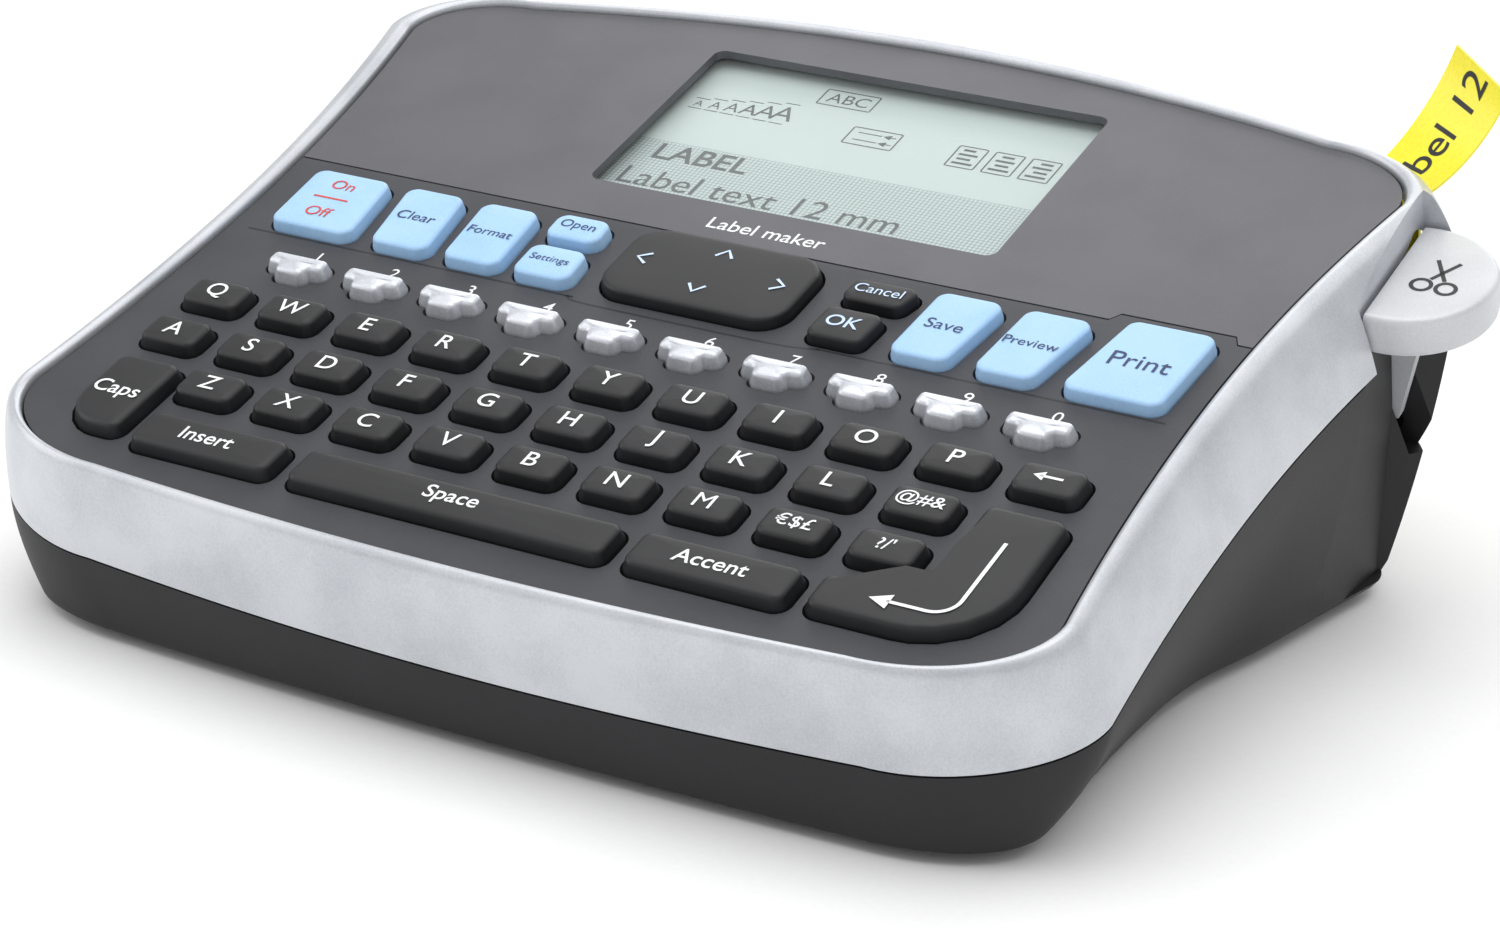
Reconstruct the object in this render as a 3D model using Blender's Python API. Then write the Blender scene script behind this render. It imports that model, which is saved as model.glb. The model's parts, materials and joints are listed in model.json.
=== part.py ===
"""Desktop label maker: a tilted keyboard and display deck in a wide bezel, on a lower housing.

Every piece is built in one of two frames.  The body frame stands on the table, +Z up, with the
deck's front edge at y = 0.  The deck frame lies on the tilted deck: x to the right, s up the
slope from the deck's front edge, and h out of the deck.  At the end both frames are moved
together, so that the origin is the middle of the footprint.
"""
import bmesh
import bpy
import numpy as np
from mathutils import Matrix, Vector

MM = 0.001

# Overall sizes
DECK_TILT = np.radians(16.25)
DECK_LENGTH = 124.4 * MM
DECK_FRONT_HEIGHT = 23.9 * MM
DECK_REAR = DECK_LENGTH * np.cos(DECK_TILT)
HALF_WIDTH_WAIST = 69.3 * MM
WIDEN_FRONT = 1.8 * MM
WIDEN_REAR = 5.0 * MM
WAIST_AT = 55.0 * MM
WAIST_TO_FRONT = 36.0 * MM
WAIST_TO_REAR = DECK_LENGTH - WAIST_AT - 19.4 * MM
FRONT_BOW = 1.7 * MM
REAR_BOW = 4.4 * MM
FRONT_CORNER = (20.0 * MM, 15.2 * MM)
REAR_CORNER = (14.4 * MM, 11.6 * MM)
BOW_SPAN = 0.72 * HALF_WIDTH_WAIST

# Clearances and walls
GAP = 0.3 * MM
KEY_GAP = 0.35 * MM
SEAT_GAP = 0.4 * MM
PANEL_THICK = 1.2 * MM
HOUSING_WALL = 2.0 * MM

# Bezel: how far its outer edge stands outside the deck, and where it meets the housing
BEZEL_FRONT = 4.5 * MM
BEZEL_SIDE_FRONT = 5.0 * MM
BEZEL_SIDE_REAR = 9.0 * MM
BEZEL_REAR = 6.0 * MM
BEZEL_DEPTH = 12.0 * MM
BEZEL_SKIN = 2.0 * MM

# Lower housing
FOOT_HEIGHT = 1.2 * MM
BASE_FRONT_INSET = 2.5 * MM
BASE_REAR_OUTSET = 7.0 * MM
BASE_FLARE = 1.6 * MM
FLARE_AT = 70.0 * MM
FLARE_LENGTH = 9.0 * MM

# Keys
KEY_PITCH = 11.87 * MM
KEY_SIZE = (8.0 * MM, 4.9 * MM)
KEY_RISE = 2.0 * MM
KEY_DRAFT = 0.6 * MM
FUNCTION_RISE = 1.8 * MM
FUNCTION_DRAFT = 0.3 * MM
KEY_ROUND = 1.1 * MM
KEY_TRAVEL = 1.0 * MM
FLANGE_THICK = 0.8 * MM
KEY_FLANGE = 1.05 * MM
FUNCTION_FLANGE = 0.8 * MM
FLANGE_TOP = -PANEL_THICK - SEAT_GAP
MAT_THICK = 1.2 * MM
MAT_TOP = FLANGE_TOP - FLANGE_THICK - KEY_TRAVEL - GAP
BOARD_THICK = 1.6 * MM
BOARD_TOP = MAT_TOP - MAT_THICK - SEAT_GAP
UPPER_ROW_AT = 37.5 * MM
MIDDLE_ROW_AT = 28.4 * MM
LOWER_ROW_AT = 19.6 * MM
NUMBER_ROW_AT = 47.3 * MM
FIRST_KEY_X = -59.2 * MM
FIRST_NUMBER_X = -53.4 * MM

# Display
SEAM_AT = 72.2 * MM
WINDOW_SIZE = (60.2 * MM, 35.8 * MM)
WINDOW_CENTRE = (1.2 * MM, 98.2 * MM)
LENS_THICK = 1.0 * MM
LENS_LIP = 1.6 * MM
LCD_THICK = 2.0 * MM

# Cutter
PADDLE_RADIUS = 11.05 * MM
PADDLE_CENTRE = (HALF_WIDTH_WAIST + 10.0 * MM, DECK_LENGTH - 24.6 * MM)
PADDLE_CHORD_X = PADDLE_CENTRE[0] - 2.0 * MM
PADDLE_TOP = -4.0 * MM
PADDLE_THICK = 5.4 * MM
CUTTER_TRAVEL = 4.5 * MM
CUTTER_GAP = 0.5 * MM
ARM_S = PADDLE_CENTRE[1] + 5.7 * MM
ARM_THICK = 2.0 * MM
ARM_INNER_X = HALF_WIDTH_WAIST - 1.8 * MM
ARM_DROP = 6.6 * MM
GUSSET_DROP = 21.0 * MM
BAR_LENGTH = 14.0 * MM
BAR_WIDTH = 4.6 * MM
BAR_THICK = 3.4 * MM
RECESS_X = HALF_WIDTH_WAIST + 5.7 * MM
RECESS_FRONT_Y = DECK_REAR - 33.8 * MM
RECESS_REAR_Y = DECK_REAR - 11.6 * MM

SPRING_RADIUS = 2.4 * MM
SPRING_WIRE = 0.35 * MM
SPRING_LENGTH = 9.0 * MM
SPRING_TURNS = 5

# Label path
TAPE_WIDTH = 12.0 * MM
TAPE_THICK = 0.35 * MM
TAPE_CENTRE = (HALF_WIDTH_WAIST + 1.3 * MM, DECK_REAR - 3.8 * MM)
TAPE_TURN = np.radians(-34.0)
SLOT_SIZE = (14.5 * MM, 11.0 * MM)
SLOT_FRONT = -2.2 * MM
SLOT_LOW = 39.0 * MM

ARC_STEPS = 3


# --- frames and outlines -------------------------------------------------------------------

def on_deck(points, h):
    """Body-frame positions of deck points (x, s) that stand h out of the deck."""
    points = np.asarray(points, float)
    x, s = points[:, 0], points[:, 1]
    y = s * np.cos(DECK_TILT) - h * np.sin(DECK_TILT)
    z = DECK_FRONT_HEIGHT + s * np.sin(DECK_TILT) + h * np.cos(DECK_TILT)
    return np.column_stack([x, y, z])


def half_width(s):
    """Half width of the deck at s: narrow at the waist, wider to the front and the rear."""
    front = WIDEN_FRONT * (np.clip(WAIST_AT - s, 0, None) / WAIST_TO_FRONT) ** 2
    rear = WIDEN_REAR * (np.clip(s - WAIST_AT, 0, None) / WAIST_TO_REAR) ** 2
    return HALF_WIDTH_WAIST + front + rear


def deck_outline(reach=0.0):
    """Closed outline (x, s) of the deck; reach 1 is the bezel's outer edge, 0 the deck itself."""
    length = DECK_LENGTH
    corner_s = FRONT_CORNER[1]
    rear_s = length - REAR_CORNER[1] - REAR_BOW * 1.2
    side_s = np.linspace(corner_s, rear_s, 9)
    turn = np.radians(np.linspace(0, 90, 8))
    front_x = half_width(corner_s) - FRONT_CORNER[0]
    rear_x = half_width(rear_s) - REAR_CORNER[0]
    front_flat = np.linspace(0, front_x, 5)[:-1]
    rear_flat = np.linspace(rear_x, 0, 5)[1:]
    front_start = FRONT_BOW * (front_x / BOW_SPAN) ** 2
    rear_end = length - REAR_BOW * (rear_x / BOW_SPAN) ** 2
    x = np.concatenate([
        front_flat,
        front_x + FRONT_CORNER[0] * np.sin(turn),
        half_width(side_s[1:-1]),
        rear_x + REAR_CORNER[0] * np.cos(turn),
        rear_flat,
    ])
    s = np.concatenate([
        FRONT_BOW * (front_flat / BOW_SPAN) ** 2,
        corner_s - (corner_s - front_start) * np.cos(turn),
        side_s[1:-1],
        rear_s + (rear_end - rear_s) * np.sin(turn),
        length - REAR_BOW * (rear_flat / BOW_SPAN) ** 2,
    ])
    share = np.clip(s / length, 0, 1)
    side = BEZEL_SIDE_FRONT + (BEZEL_SIDE_REAR - BEZEL_SIDE_FRONT) * share
    x = x + reach * side * np.clip(x / half_width(s), 0, 1) ** 2
    middle = (share - 0.5) * 2
    s = s + reach * np.where(middle > 0, BEZEL_REAR, BEZEL_FRONT) * np.sign(middle) * middle ** 8
    right = np.column_stack([x, s])
    left = right[1:-1][::-1] * [-1, 1]
    return np.vstack([right, left])


def rounded(corners, radius, steps=ARC_STEPS):
    """Polygon whose corners are arcs; radius is one value or one for each corner."""
    corners = np.asarray(corners, float)
    radii = np.broadcast_to(radius, len(corners))
    points = []
    for index, corner in enumerate(corners):
        before = corners[index - 1] - corner
        after = corners[(index + 1) % len(corners)] - corner
        before /= np.linalg.norm(before)
        after /= np.linalg.norm(after)
        half = np.arccos(np.clip(before @ after, -1, 1)) / 2
        reach = radii[index] / np.tan(half)
        bisector = (before + after) / np.linalg.norm(before + after)
        centre = corner + bisector * radii[index] / np.sin(half)
        start = corner + before * reach - centre
        end = corner + after * reach - centre
        for share in np.linspace(0, 1, steps + 1):
            step = start * (1 - share) + end * share
            points.append(centre + step / np.linalg.norm(step) * radii[index])
    return np.array(points)


def grown(corners, amount):
    """The polygon with each side moved outwards by amount (corners run counterclockwise)."""
    corners = np.asarray(corners, float)
    before = corners - np.roll(corners, 1, axis=0)
    after = np.roll(corners, -1, axis=0) - corners
    normal_a = np.column_stack([before[:, 1], -before[:, 0]])
    normal_b = np.column_stack([after[:, 1], -after[:, 0]])
    normal_a /= np.linalg.norm(normal_a, axis=1)[:, None]
    normal_b /= np.linalg.norm(normal_b, axis=1)[:, None]
    bisector = normal_a + normal_b
    return corners + bisector * amount * 2 / np.sum(bisector ** 2, axis=1)[:, None]


def box_corners(centre, size):
    """Counterclockwise corners of a rectangle."""
    half_x, half_y = size[0] / 2, size[1] / 2
    signs = np.array([(-1, -1), (1, -1), (1, 1), (-1, 1)])
    return np.asarray(centre) + signs * [half_x, half_y]


def circle(centre, radius, steps=16):
    turn = np.linspace(0, 2 * np.pi, steps, endpoint=False)
    return np.column_stack([centre[0] + radius * np.cos(turn), centre[1] + radius * np.sin(turn)])


def level(outline, height):
    """The outline at one height of its own frame."""
    return np.column_stack([outline, np.full(len(outline), height)])


# --- objects -------------------------------------------------------------------------------

def clear_scene():
    for item in list(bpy.data.objects):
        bpy.data.objects.remove(item, do_unlink=True)


def material(name, colour, roughness, metallic=0.0, alpha=1.0):
    """Principled material shared by the pieces of one finish."""
    found = bpy.data.materials.get(name)
    if found:
        return found
    made = bpy.data.materials.new(name)
    made.use_nodes = True
    shader = made.node_tree.nodes["Principled BSDF"]
    shader.inputs["Base Color"].default_value = (*colour, 1.0)
    shader.inputs["Roughness"].default_value = roughness
    shader.inputs["Metallic"].default_value = metallic
    shader.inputs["Alpha"].default_value = alpha
    return made


def finish(kind):
    """The object's finishes: linear colour, roughness, metallic."""
    table = {
        "black_abs": ((0.018, 0.018, 0.022), 0.55, 0.0),
        "panel_black": ((0.045, 0.046, 0.052), 0.6, 0.0),
        "panel_grey": ((0.11, 0.11, 0.12), 0.4, 0.0),
        "silver_paint": ((0.50, 0.53, 0.57), 0.4, 0.6),
        "key_rubber": ((0.014, 0.015, 0.018), 0.6, 0.0),
        "blue_key": ((0.38, 0.60, 0.87), 0.5, 0.0),
        "silver_key": ((0.60, 0.63, 0.68), 0.35, 0.5),
        "cutter_grey": ((0.62, 0.63, 0.64), 0.45, 0.0),
        "clear_lens": ((0.80, 0.85, 0.83), 0.1, 0.0),
        "lcd_glass": ((0.48, 0.55, 0.52), 0.3, 0.0),
        "circuit_board": ((0.02, 0.16, 0.06), 0.5, 0.0),
        "steel": ((0.55, 0.55, 0.56), 0.3, 1.0),
        "white_acetal": ((0.75, 0.75, 0.72), 0.45, 0.0),
        "tape_yellow": ((0.95, 0.82, 0.03), 0.35, 0.0),
        "cassette_grey": ((0.20, 0.21, 0.23), 0.5, 0.0),
        "battery_wrap": ((0.03, 0.05, 0.12), 0.45, 0.0),
        "foot_rubber": ((0.02, 0.02, 0.02), 0.8, 0.0),
    }
    return material(kind, *table[kind])


def add_object(name, mesh, kind, parent):
    made = bpy.data.objects.new(name, mesh)
    bpy.context.scene.collection.objects.link(made)
    made.parent = parent
    if kind:
        mesh.materials.append(finish(kind))
    return made


def mesh_of_rings(name, rings, cyclic=False):
    """Skin between rings of equal point count, closed by flat ends or into a loop."""
    built = bmesh.new()
    loops = [[built.verts.new(point) for point in ring] for ring in rings]
    pairs = list(zip(loops, loops[1:]))
    if cyclic:
        pairs.append((loops[-1], loops[0]))
    for low, high in pairs:
        for index in range(len(low)):
            after = (index + 1) % len(low)
            built.faces.new((low[index], low[after], high[after], high[index]))
    if not cyclic:
        built.faces.new(loops[0][::-1])
        built.faces.new(loops[-1])
    bmesh.ops.recalc_face_normals(built, faces=built.faces)
    mesh = bpy.data.meshes.new(name)
    built.to_mesh(mesh)
    built.free()
    return mesh


def ring_solid(name, rings, kind, parent, cyclic=False, at=(0, 0, 0)):
    """Solid skinned over rings, with its origin at the given place of the parent frame."""
    shifted = [np.asarray(ring) - np.asarray(at) for ring in rings]
    made = add_object(name, mesh_of_rings(name, shifted, cyclic), kind, parent)
    made.location = at
    return made


def prism(name, outline, low, high, kind, parent, at=(0, 0, 0)):
    return ring_solid(name, [level(outline, low), level(outline, high)], kind, parent, at=at)


def turned(name, profile, steps, kind, parent, frame):
    """Solid of revolution: profile of (radius, height) pairs, turned about the frame's Z."""
    rings = [level(circle((0, 0), radius, steps), height) for radius, height in profile]
    made = ring_solid(name, rings, kind, parent)
    made.matrix_local = frame
    smooth(made)
    return made


def smooth(item, angle=35):
    item.data.shade_smooth()
    item.data.set_sharp_from_angle(angle=np.radians(angle))


def as_guide(item):
    item.hide_render = True
    item.display_type = "WIRE"
    return item


def combine(target, tool, operation="DIFFERENCE"):
    """Boolean of a guide solid on the target."""
    modifier = target.modifiers.new(tool.name, "BOOLEAN")
    modifier.object = as_guide(tool)
    modifier.operation = operation
    modifier.solver = "EXACT"


def guide_prisms(name, outlines, low, high, parent):
    """One guide object made of several separate prisms."""
    built = bmesh.new()
    for outline in outlines:
        part = mesh_of_rings("part", [level(outline, low), level(outline, high)])
        built.from_mesh(part)
        bpy.data.meshes.remove(part)
    mesh = bpy.data.meshes.new(name)
    built.to_mesh(mesh)
    built.free()
    return as_guide(add_object(name, mesh, None, parent))


def frame_at(origin, x_axis, z_axis):
    """Matrix of a frame from its origin, a rough X direction and its Z direction."""
    z = Vector(z_axis).normalized()
    y = z.cross(Vector(x_axis)).normalized()
    x = y.cross(z)
    matrix = Matrix((x, y, z)).transposed().to_4x4()
    matrix.translation = Vector(origin)
    return matrix


# --- keys ----------------------------------------------------------------------------------

def outgrown(corners, radius, amount):
    """Rounded outline moved outwards: outer corners get rounder and inner corners tighter."""
    corners = np.asarray(corners, float)
    before = corners - np.roll(corners, 1, axis=0)
    after = np.roll(corners, -1, axis=0) - corners
    outer = before[:, 0] * after[:, 1] - before[:, 1] * after[:, 0] > 0
    radii = np.broadcast_to(radius, len(corners))
    radii = np.where(outer, radii + amount, np.maximum(radii - amount, 0.1 * MM))
    return rounded(grown(corners, amount), radii)


def key_rings(corners, radius, rise, draft):
    """Rings of one key: straight foot under the deck, drafted skirt, rounded shoulder, top."""
    foot = outgrown(corners, radius, draft)
    return [
        level(foot, FLANGE_TOP - FLANGE_THICK / 2),
        level(foot, 0.2 * MM),
        level(outgrown(corners, radius, draft * 0.4), rise - 0.5 * MM),
        level(rounded(corners, radius), rise),
    ]


def key_hole(corners, radius, draft):
    return outgrown(corners, radius, draft + KEY_GAP)


def single_key(name, corners, radius, kind, deck, rise, draft, reach):
    """A key on its own flange of that reach; its origin is the middle of its foot."""
    corners = np.asarray(corners, float)
    centre = (*corners.mean(axis=0), 0.0)
    flange = outgrown(corners, radius, reach)
    foot = outgrown(corners, radius, draft)
    rings = [
        level(flange, FLANGE_TOP - FLANGE_THICK),
        level(flange, FLANGE_TOP),
        level(foot, FLANGE_TOP),
    ] + key_rings(corners, radius, rise, draft)[1:]
    return ring_solid(name, rings, kind, deck, at=centre)


def key_row(name, corner_sets, radius, kind, deck):
    """Keys of one row that share a thin web under the deck."""
    corner_sets = [np.asarray(corners, float) for corners in corner_sets]
    everything = np.vstack(corner_sets)
    low, high = everything.min(axis=0), everything.max(axis=0)
    centre = (*((low + high) / 2), 0.0)
    web = box_corners(centre[:2], high - low + 2 * KEY_FLANGE)
    row = prism(name, rounded(web, 1.0 * MM), FLANGE_TOP - FLANGE_THICK, FLANGE_TOP, kind, deck,
                at=centre)
    built = bmesh.new()
    for corners in corner_sets:
        rings = [ring - centre for ring in key_rings(corners, radius, KEY_RISE, KEY_DRAFT)]
        part = mesh_of_rings("part", rings)
        built.from_mesh(part)
        bpy.data.meshes.remove(part)
    mesh = bpy.data.meshes.new(name + "_caps")
    built.to_mesh(mesh)
    built.free()
    caps = add_object(name + "_caps", mesh, None, deck)
    caps.location = centre
    combine(row, caps, "UNION")
    return row


def letter_corners(x, s):
    return box_corners((x, s), KEY_SIZE)


def number_corners(x, s):
    """Three-lobed key: a wide bar with a short lobe in front of its middle."""
    bar_half, lobe_half = 4.0 * MM, 1.9 * MM
    front, step, rear = s - 2.3 * MM, s - 0.7 * MM, s + 1.3 * MM
    return np.array([
        (x - lobe_half, front), (x + lobe_half, front), (x + lobe_half, step),
        (x + bar_half, step), (x + bar_half, rear), (x - bar_half, rear),
        (x - bar_half, step), (x - lobe_half, step),
    ])


NUMBER_RADII = np.array([0.7, 0.7, 0.8, 0.6, 0.6, 0.6, 0.6, 0.8]) * MM


def quad(left_front, right_front, front, left_rear, right_rear, rear):
    """Key corners in millimetres: the front edge, then the rear edge."""
    corners = [(left_front, front), (right_front, front), (right_rear, rear), (left_rear, rear)]
    return np.array(corners) * MM


def single_key_plan():
    """Every key that stands alone: corners, corner radii, finish, then rise, draft, flange."""
    blue, black = "blue_key", "key_rubber"
    soft = 1.6 * MM
    enter = np.array([
        (43.8, 7.2), (65.4, 7.2), (65.0, 30.6), (55.3, 30.6), (55.3, 12.7), (43.8, 12.7),
    ]) * MM
    enter_radii = np.array([1.2, 10.5, 1.2, 1.2, 3.2, 1.2]) * MM
    caps_radii = np.array([5.5, 1.2, 1.2, 1.6]) * MM
    low = (FUNCTION_RISE, FUNCTION_DRAFT, FUNCTION_FLANGE)
    high = (KEY_RISE, KEY_DRAFT, KEY_FLANGE)
    return {
        "on_off_key": (quad(-63.4, -50.8, 55.3, -64.0, -52.5, 68.3), soft, blue, low),
        "clear_key": (quad(-47.2, -38.7, 55.3, -49.3, -40.6, 68.3), soft, blue, low),
        "format_key": (quad(-35.9, -27.7, 55.3, -37.3, -28.9, 68.3), soft, blue, low),
        "settings_key": (quad(-25.3, -17.0, 55.3, -25.6, -17.6, 61.9), soft, blue, low),
        "open_key": (quad(-25.7, -17.9, 64.2, -26.0, -18.4, 69.3), soft, blue, low),
        "nav_pad": (quad(-13.4, 13.4, 55.6, -13.4, 13.4, 70.4), 4.0 * MM, black, low),
        "ok_key": (quad(17.7, 25.2, 55.3, 18.0, 25.7, 61.6), 1.2 * MM, black, low),
        "cancel_key": (quad(18.2, 26.3, 63.9, 18.5, 27.5, 68.3), 1.2 * MM, black, low),
        "save_key": (quad(29.2, 36.9, 55.3, 29.9, 38.8, 69.0), soft, blue, low),
        "preview_key": (quad(40.7, 48.4, 55.3, 41.9, 50.9, 69.0), soft, blue, low),
        "print_key": (quad(52.3, 65.2, 55.3, 54.9, 66.2, 71.0), soft, blue, low),
        "caps_key": (quad(-62.3, -53.6, 7.8, -62.3, -53.6, 21.6), caps_radii, black, high),
        "insert_key": (quad(-50.4, -30.3, 6.6, -50.4, -30.3, 12.4), 1.2 * MM, black, high),
        "space_key": (quad(-26.8, 17.0, 6.6, -26.8, 17.0, 12.4), 1.2 * MM, black, high),
        "accent_key": (quad(20.3, 40.8, 6.6, 20.3, 40.8, 12.4), 1.2 * MM, black, high),
        "enter_key": (enter, enter_radii, black, high),
        "backspace_key": (letter_corners(FIRST_KEY_X + 10 * KEY_PITCH, UPPER_ROW_AT),
                          KEY_ROUND, black, high),
    }


def row_plan():
    """Key rows, each in two halves: first key x, s, how many left and right, kind of key."""
    second_x = FIRST_KEY_X + KEY_PITCH
    return {
        "number_keys": (FIRST_NUMBER_X, NUMBER_ROW_AT, (5, 5), number_corners, NUMBER_RADII,
                        "silver_key"),
        "upper_keys": (FIRST_KEY_X, UPPER_ROW_AT, (5, 5), letter_corners, KEY_ROUND,
                       "key_rubber"),
        "middle_keys": (FIRST_KEY_X, MIDDLE_ROW_AT, (5, 5), letter_corners, KEY_ROUND,
                        "key_rubber"),
        "lower_keys": (second_x, LOWER_ROW_AT, (5, 4), letter_corners, KEY_ROUND, "key_rubber"),
    }


def build_keys(deck):
    """All keys and key rows; returns the outlines of the holes that they need."""
    holes = []
    for name, (corners, radius, kind, (rise, draft, reach)) in single_key_plan().items():
        single_key(name, corners, radius, kind, deck, rise, draft, reach)
        holes.append(key_hole(corners, radius, draft))
    for name, (first_x, s, counts, shape, radius, kind) in row_plan().items():
        sets = [shape(first_x + index * KEY_PITCH, s) for index in range(sum(counts))]
        holes += [key_hole(corners, radius, KEY_DRAFT) for corners in sets]
        key_row(name + "_left", sets[:counts[0]], radius, kind, deck)
        key_row(name + "_right", sets[counts[0]:], radius, kind, deck)
    return holes


# --- deck panels and display ---------------------------------------------------------------

def seam_region(shift):
    """Everything behind the seam between keyboard and display panels, moved back by shift."""
    far = DECK_LENGTH * 2
    side = HALF_WIDTH_WAIST * 2
    bump_rear = SEAM_AT + 1.6 * MM
    points = np.array([
        (-side, SEAM_AT), (51.0 * MM, SEAM_AT), (52.0 * MM, bump_rear), (67.2 * MM, bump_rear),
        (68.0 * MM, SEAM_AT), (side, SEAM_AT), (side, far), (-side, far),
    ])
    points[:6, 1] += shift
    return points


def build_panels(deck, holes):
    outline = deck_outline()
    keyboard = prism("keyboard_panel", outline, -PANEL_THICK, 0, "panel_black", deck)
    behind = guide_prisms("behind_seam", [seam_region(-GAP / 2)], -9 * MM, 9 * MM, deck)
    combine(keyboard, behind)
    combine(keyboard, guide_prisms("key_holes", holes, -9 * MM, 9 * MM, deck))

    display = prism("display_panel", outline, -PANEL_THICK, 0, "panel_grey", deck)
    kept = guide_prisms("display_area", [seam_region(GAP / 2)], -9 * MM, 9 * MM, deck)
    combine(display, kept, "INTERSECT")
    window = rounded(box_corners(WINDOW_CENTRE, WINDOW_SIZE), 1.5 * MM)
    combine(display, guide_prisms("window_hole", [window], -9 * MM, 9 * MM, deck))

    lens_size = np.array(WINDOW_SIZE) + 2 * LENS_LIP
    lens_top = -PANEL_THICK - GAP
    lens = rounded(box_corners(WINDOW_CENTRE, lens_size), 2.0 * MM)
    prism("display_window", lens, lens_top - LENS_THICK, lens_top, "clear_lens", deck)
    lcd_top = lens_top - LENS_THICK - GAP
    lcd = box_corners(WINDOW_CENTRE, lens_size + 2 * MM)
    prism("lcd_panel", lcd, lcd_top - LCD_THICK, lcd_top, "lcd_glass", deck)


def build_boards(deck):
    """Switch mat under the keys and the main circuit board under both deck panels."""
    inner = HALF_WIDTH_WAIST - 5 * MM
    mat_front, mat_rear = 8 * MM, SEAM_AT - 3 * MM
    mat = [(-inner, mat_front), (inner, mat_front), (inner, mat_rear), (-inner, mat_rear)]
    prism("keypad_mat", rounded(mat, 8 * MM), MAT_TOP - MAT_THICK, MAT_TOP, "cassette_grey", deck)
    board_rear = WINDOW_CENTRE[1] + WINDOW_SIZE[1] / 2 - 2 * MM
    board = [(-inner, mat_front), (inner, mat_front), (inner, board_rear), (-inner, board_rear)]
    board_top = min(BOARD_TOP, -PANEL_THICK - LENS_THICK - LCD_THICK - 4 * GAP)
    prism("main_board", rounded(board, 8 * MM), board_top - BOARD_THICK, board_top,
          "circuit_board", deck)


# --- bezel ---------------------------------------------------------------------------------

BEZEL_PROFILE = [
    # reach outwards (0 deck edge, 1 outer edge), height above the deck in millimetres
    (0.07, -1.3), (0.07, 0.3), (0.16, 0.9), (0.30, 0.9), (0.46, 0.1), (0.60, -1.8),
    (0.74, -4.4), (0.88, -8.0), (1.0, -12.0),
]


def bezel_rings():
    """Outer skin from the deck edge over the crest to the parting line, then back inside."""
    rings = []
    for reach, height in BEZEL_PROFILE:
        rings.append(level(deck_outline(reach), height * MM))
    inside = 1 - BEZEL_SKIN / BEZEL_SIDE_FRONT
    rings.append(level(deck_outline(inside), -BEZEL_DEPTH))
    rings.append(level(deck_outline(inside * 0.55), -5.5 * MM))
    rings.append(level(deck_outline(0.18), -2.4 * MM))
    rings.append(level(deck_outline(0.07), -2.4 * MM))
    return rings


def paddle_outline(room=0.0):
    """Half disc whose straight side faces the bezel, grown by room."""
    radius = PADDLE_RADIUS + room
    chord = PADDLE_CHORD_X - room
    lean = np.arccos((chord - PADDLE_CENTRE[0]) / radius)
    turn = np.linspace(-lean, lean, 18)
    return np.column_stack([
        PADDLE_CENTRE[0] + radius * np.cos(turn),
        PADDLE_CENTRE[1] + radius * np.sin(turn),
    ])


def arm_slot():
    """Where the cutter's arm passes through the bezel and the housing, seen from above."""
    half = ARM_THICK / 2 + CUTTER_GAP
    inner, outer = RECESS_X - HOUSING_WALL - CUTTER_GAP, PADDLE_CHORD_X + 8 * MM
    return np.array([
        (inner, ARM_S - half), (outer, ARM_S - half), (outer, ARM_S + half),
        (inner, ARM_S + half),
    ])


def arm_reach():
    """Lowest height that the arm's gusset sweeps, with its clearance."""
    swept = PADDLE_THICK + GUSSET_DROP + CUTTER_TRAVEL + CUTTER_GAP
    return PADDLE_TOP - swept


def tape_notch(parent):
    """Guide for the label's way out: a notch through the rear right corner."""
    centre = (0, SLOT_FRONT + SLOT_SIZE[1] / 2)
    notch = prism("label_notch", box_corners(centre, SLOT_SIZE), SLOT_LOW, 80 * MM, None, parent)
    notch.location = (*TAPE_CENTRE, 0)
    notch.rotation_euler = (0, 0, TAPE_TURN)
    return as_guide(notch)


def build_bezel(body, deck):
    bezel = ring_solid("bezel", bezel_rings(), "silver_paint", deck, cyclic=True)
    notch = guide_prisms("paddle_notch", [paddle_outline(CUTTER_GAP)], -30 * MM, 9 * MM, deck)
    combine(bezel, notch)
    slot = guide_prisms("arm_slot_bezel", [arm_slot()], arm_reach(), PADDLE_TOP - 1 * MM, deck)
    combine(bezel, slot)
    combine(bezel, tape_notch(body))
    smooth(bezel, 40)


# --- lower housing -------------------------------------------------------------------------

def base_outline(inset=0.0):
    """Outline of the housing's flat bottom in the body frame, level with the table."""
    outline = deck_outline()
    x, s = outline[:, 0], outline[:, 1]
    y = s * np.cos(DECK_TILT)
    flare = BASE_FLARE * np.tanh((y - FLARE_AT) / FLARE_LENGTH)
    edge = np.clip(np.abs(x) / half_width(s), 0, 1) ** 4
    x = x + np.sign(x) * (flare - inset) * edge
    middle = (y / DECK_REAR - 0.5) * 2
    push = np.where(middle > 0, BASE_REAR_OUTSET - inset, -BASE_FRONT_INSET - inset)
    y = y + push * np.sign(middle) * np.abs(middle) ** 6
    return np.column_stack([x, y])


def housing_ring(share, inset):
    """Ring of the housing wall: share 0 is the parting line, 1 the bottom."""
    reach = 1 - inset / BEZEL_SIDE_FRONT
    top = on_deck(deck_outline(reach), -BEZEL_DEPTH - GAP)
    bottom = level(base_outline(inset), FOOT_HEIGHT + inset)
    draw = share ** 1.6
    ring = top * (1 - draw) + bottom * draw
    ring[:, 2] = top[:, 2] * (1 - share) + bottom[:, 2] * share
    return ring


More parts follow.
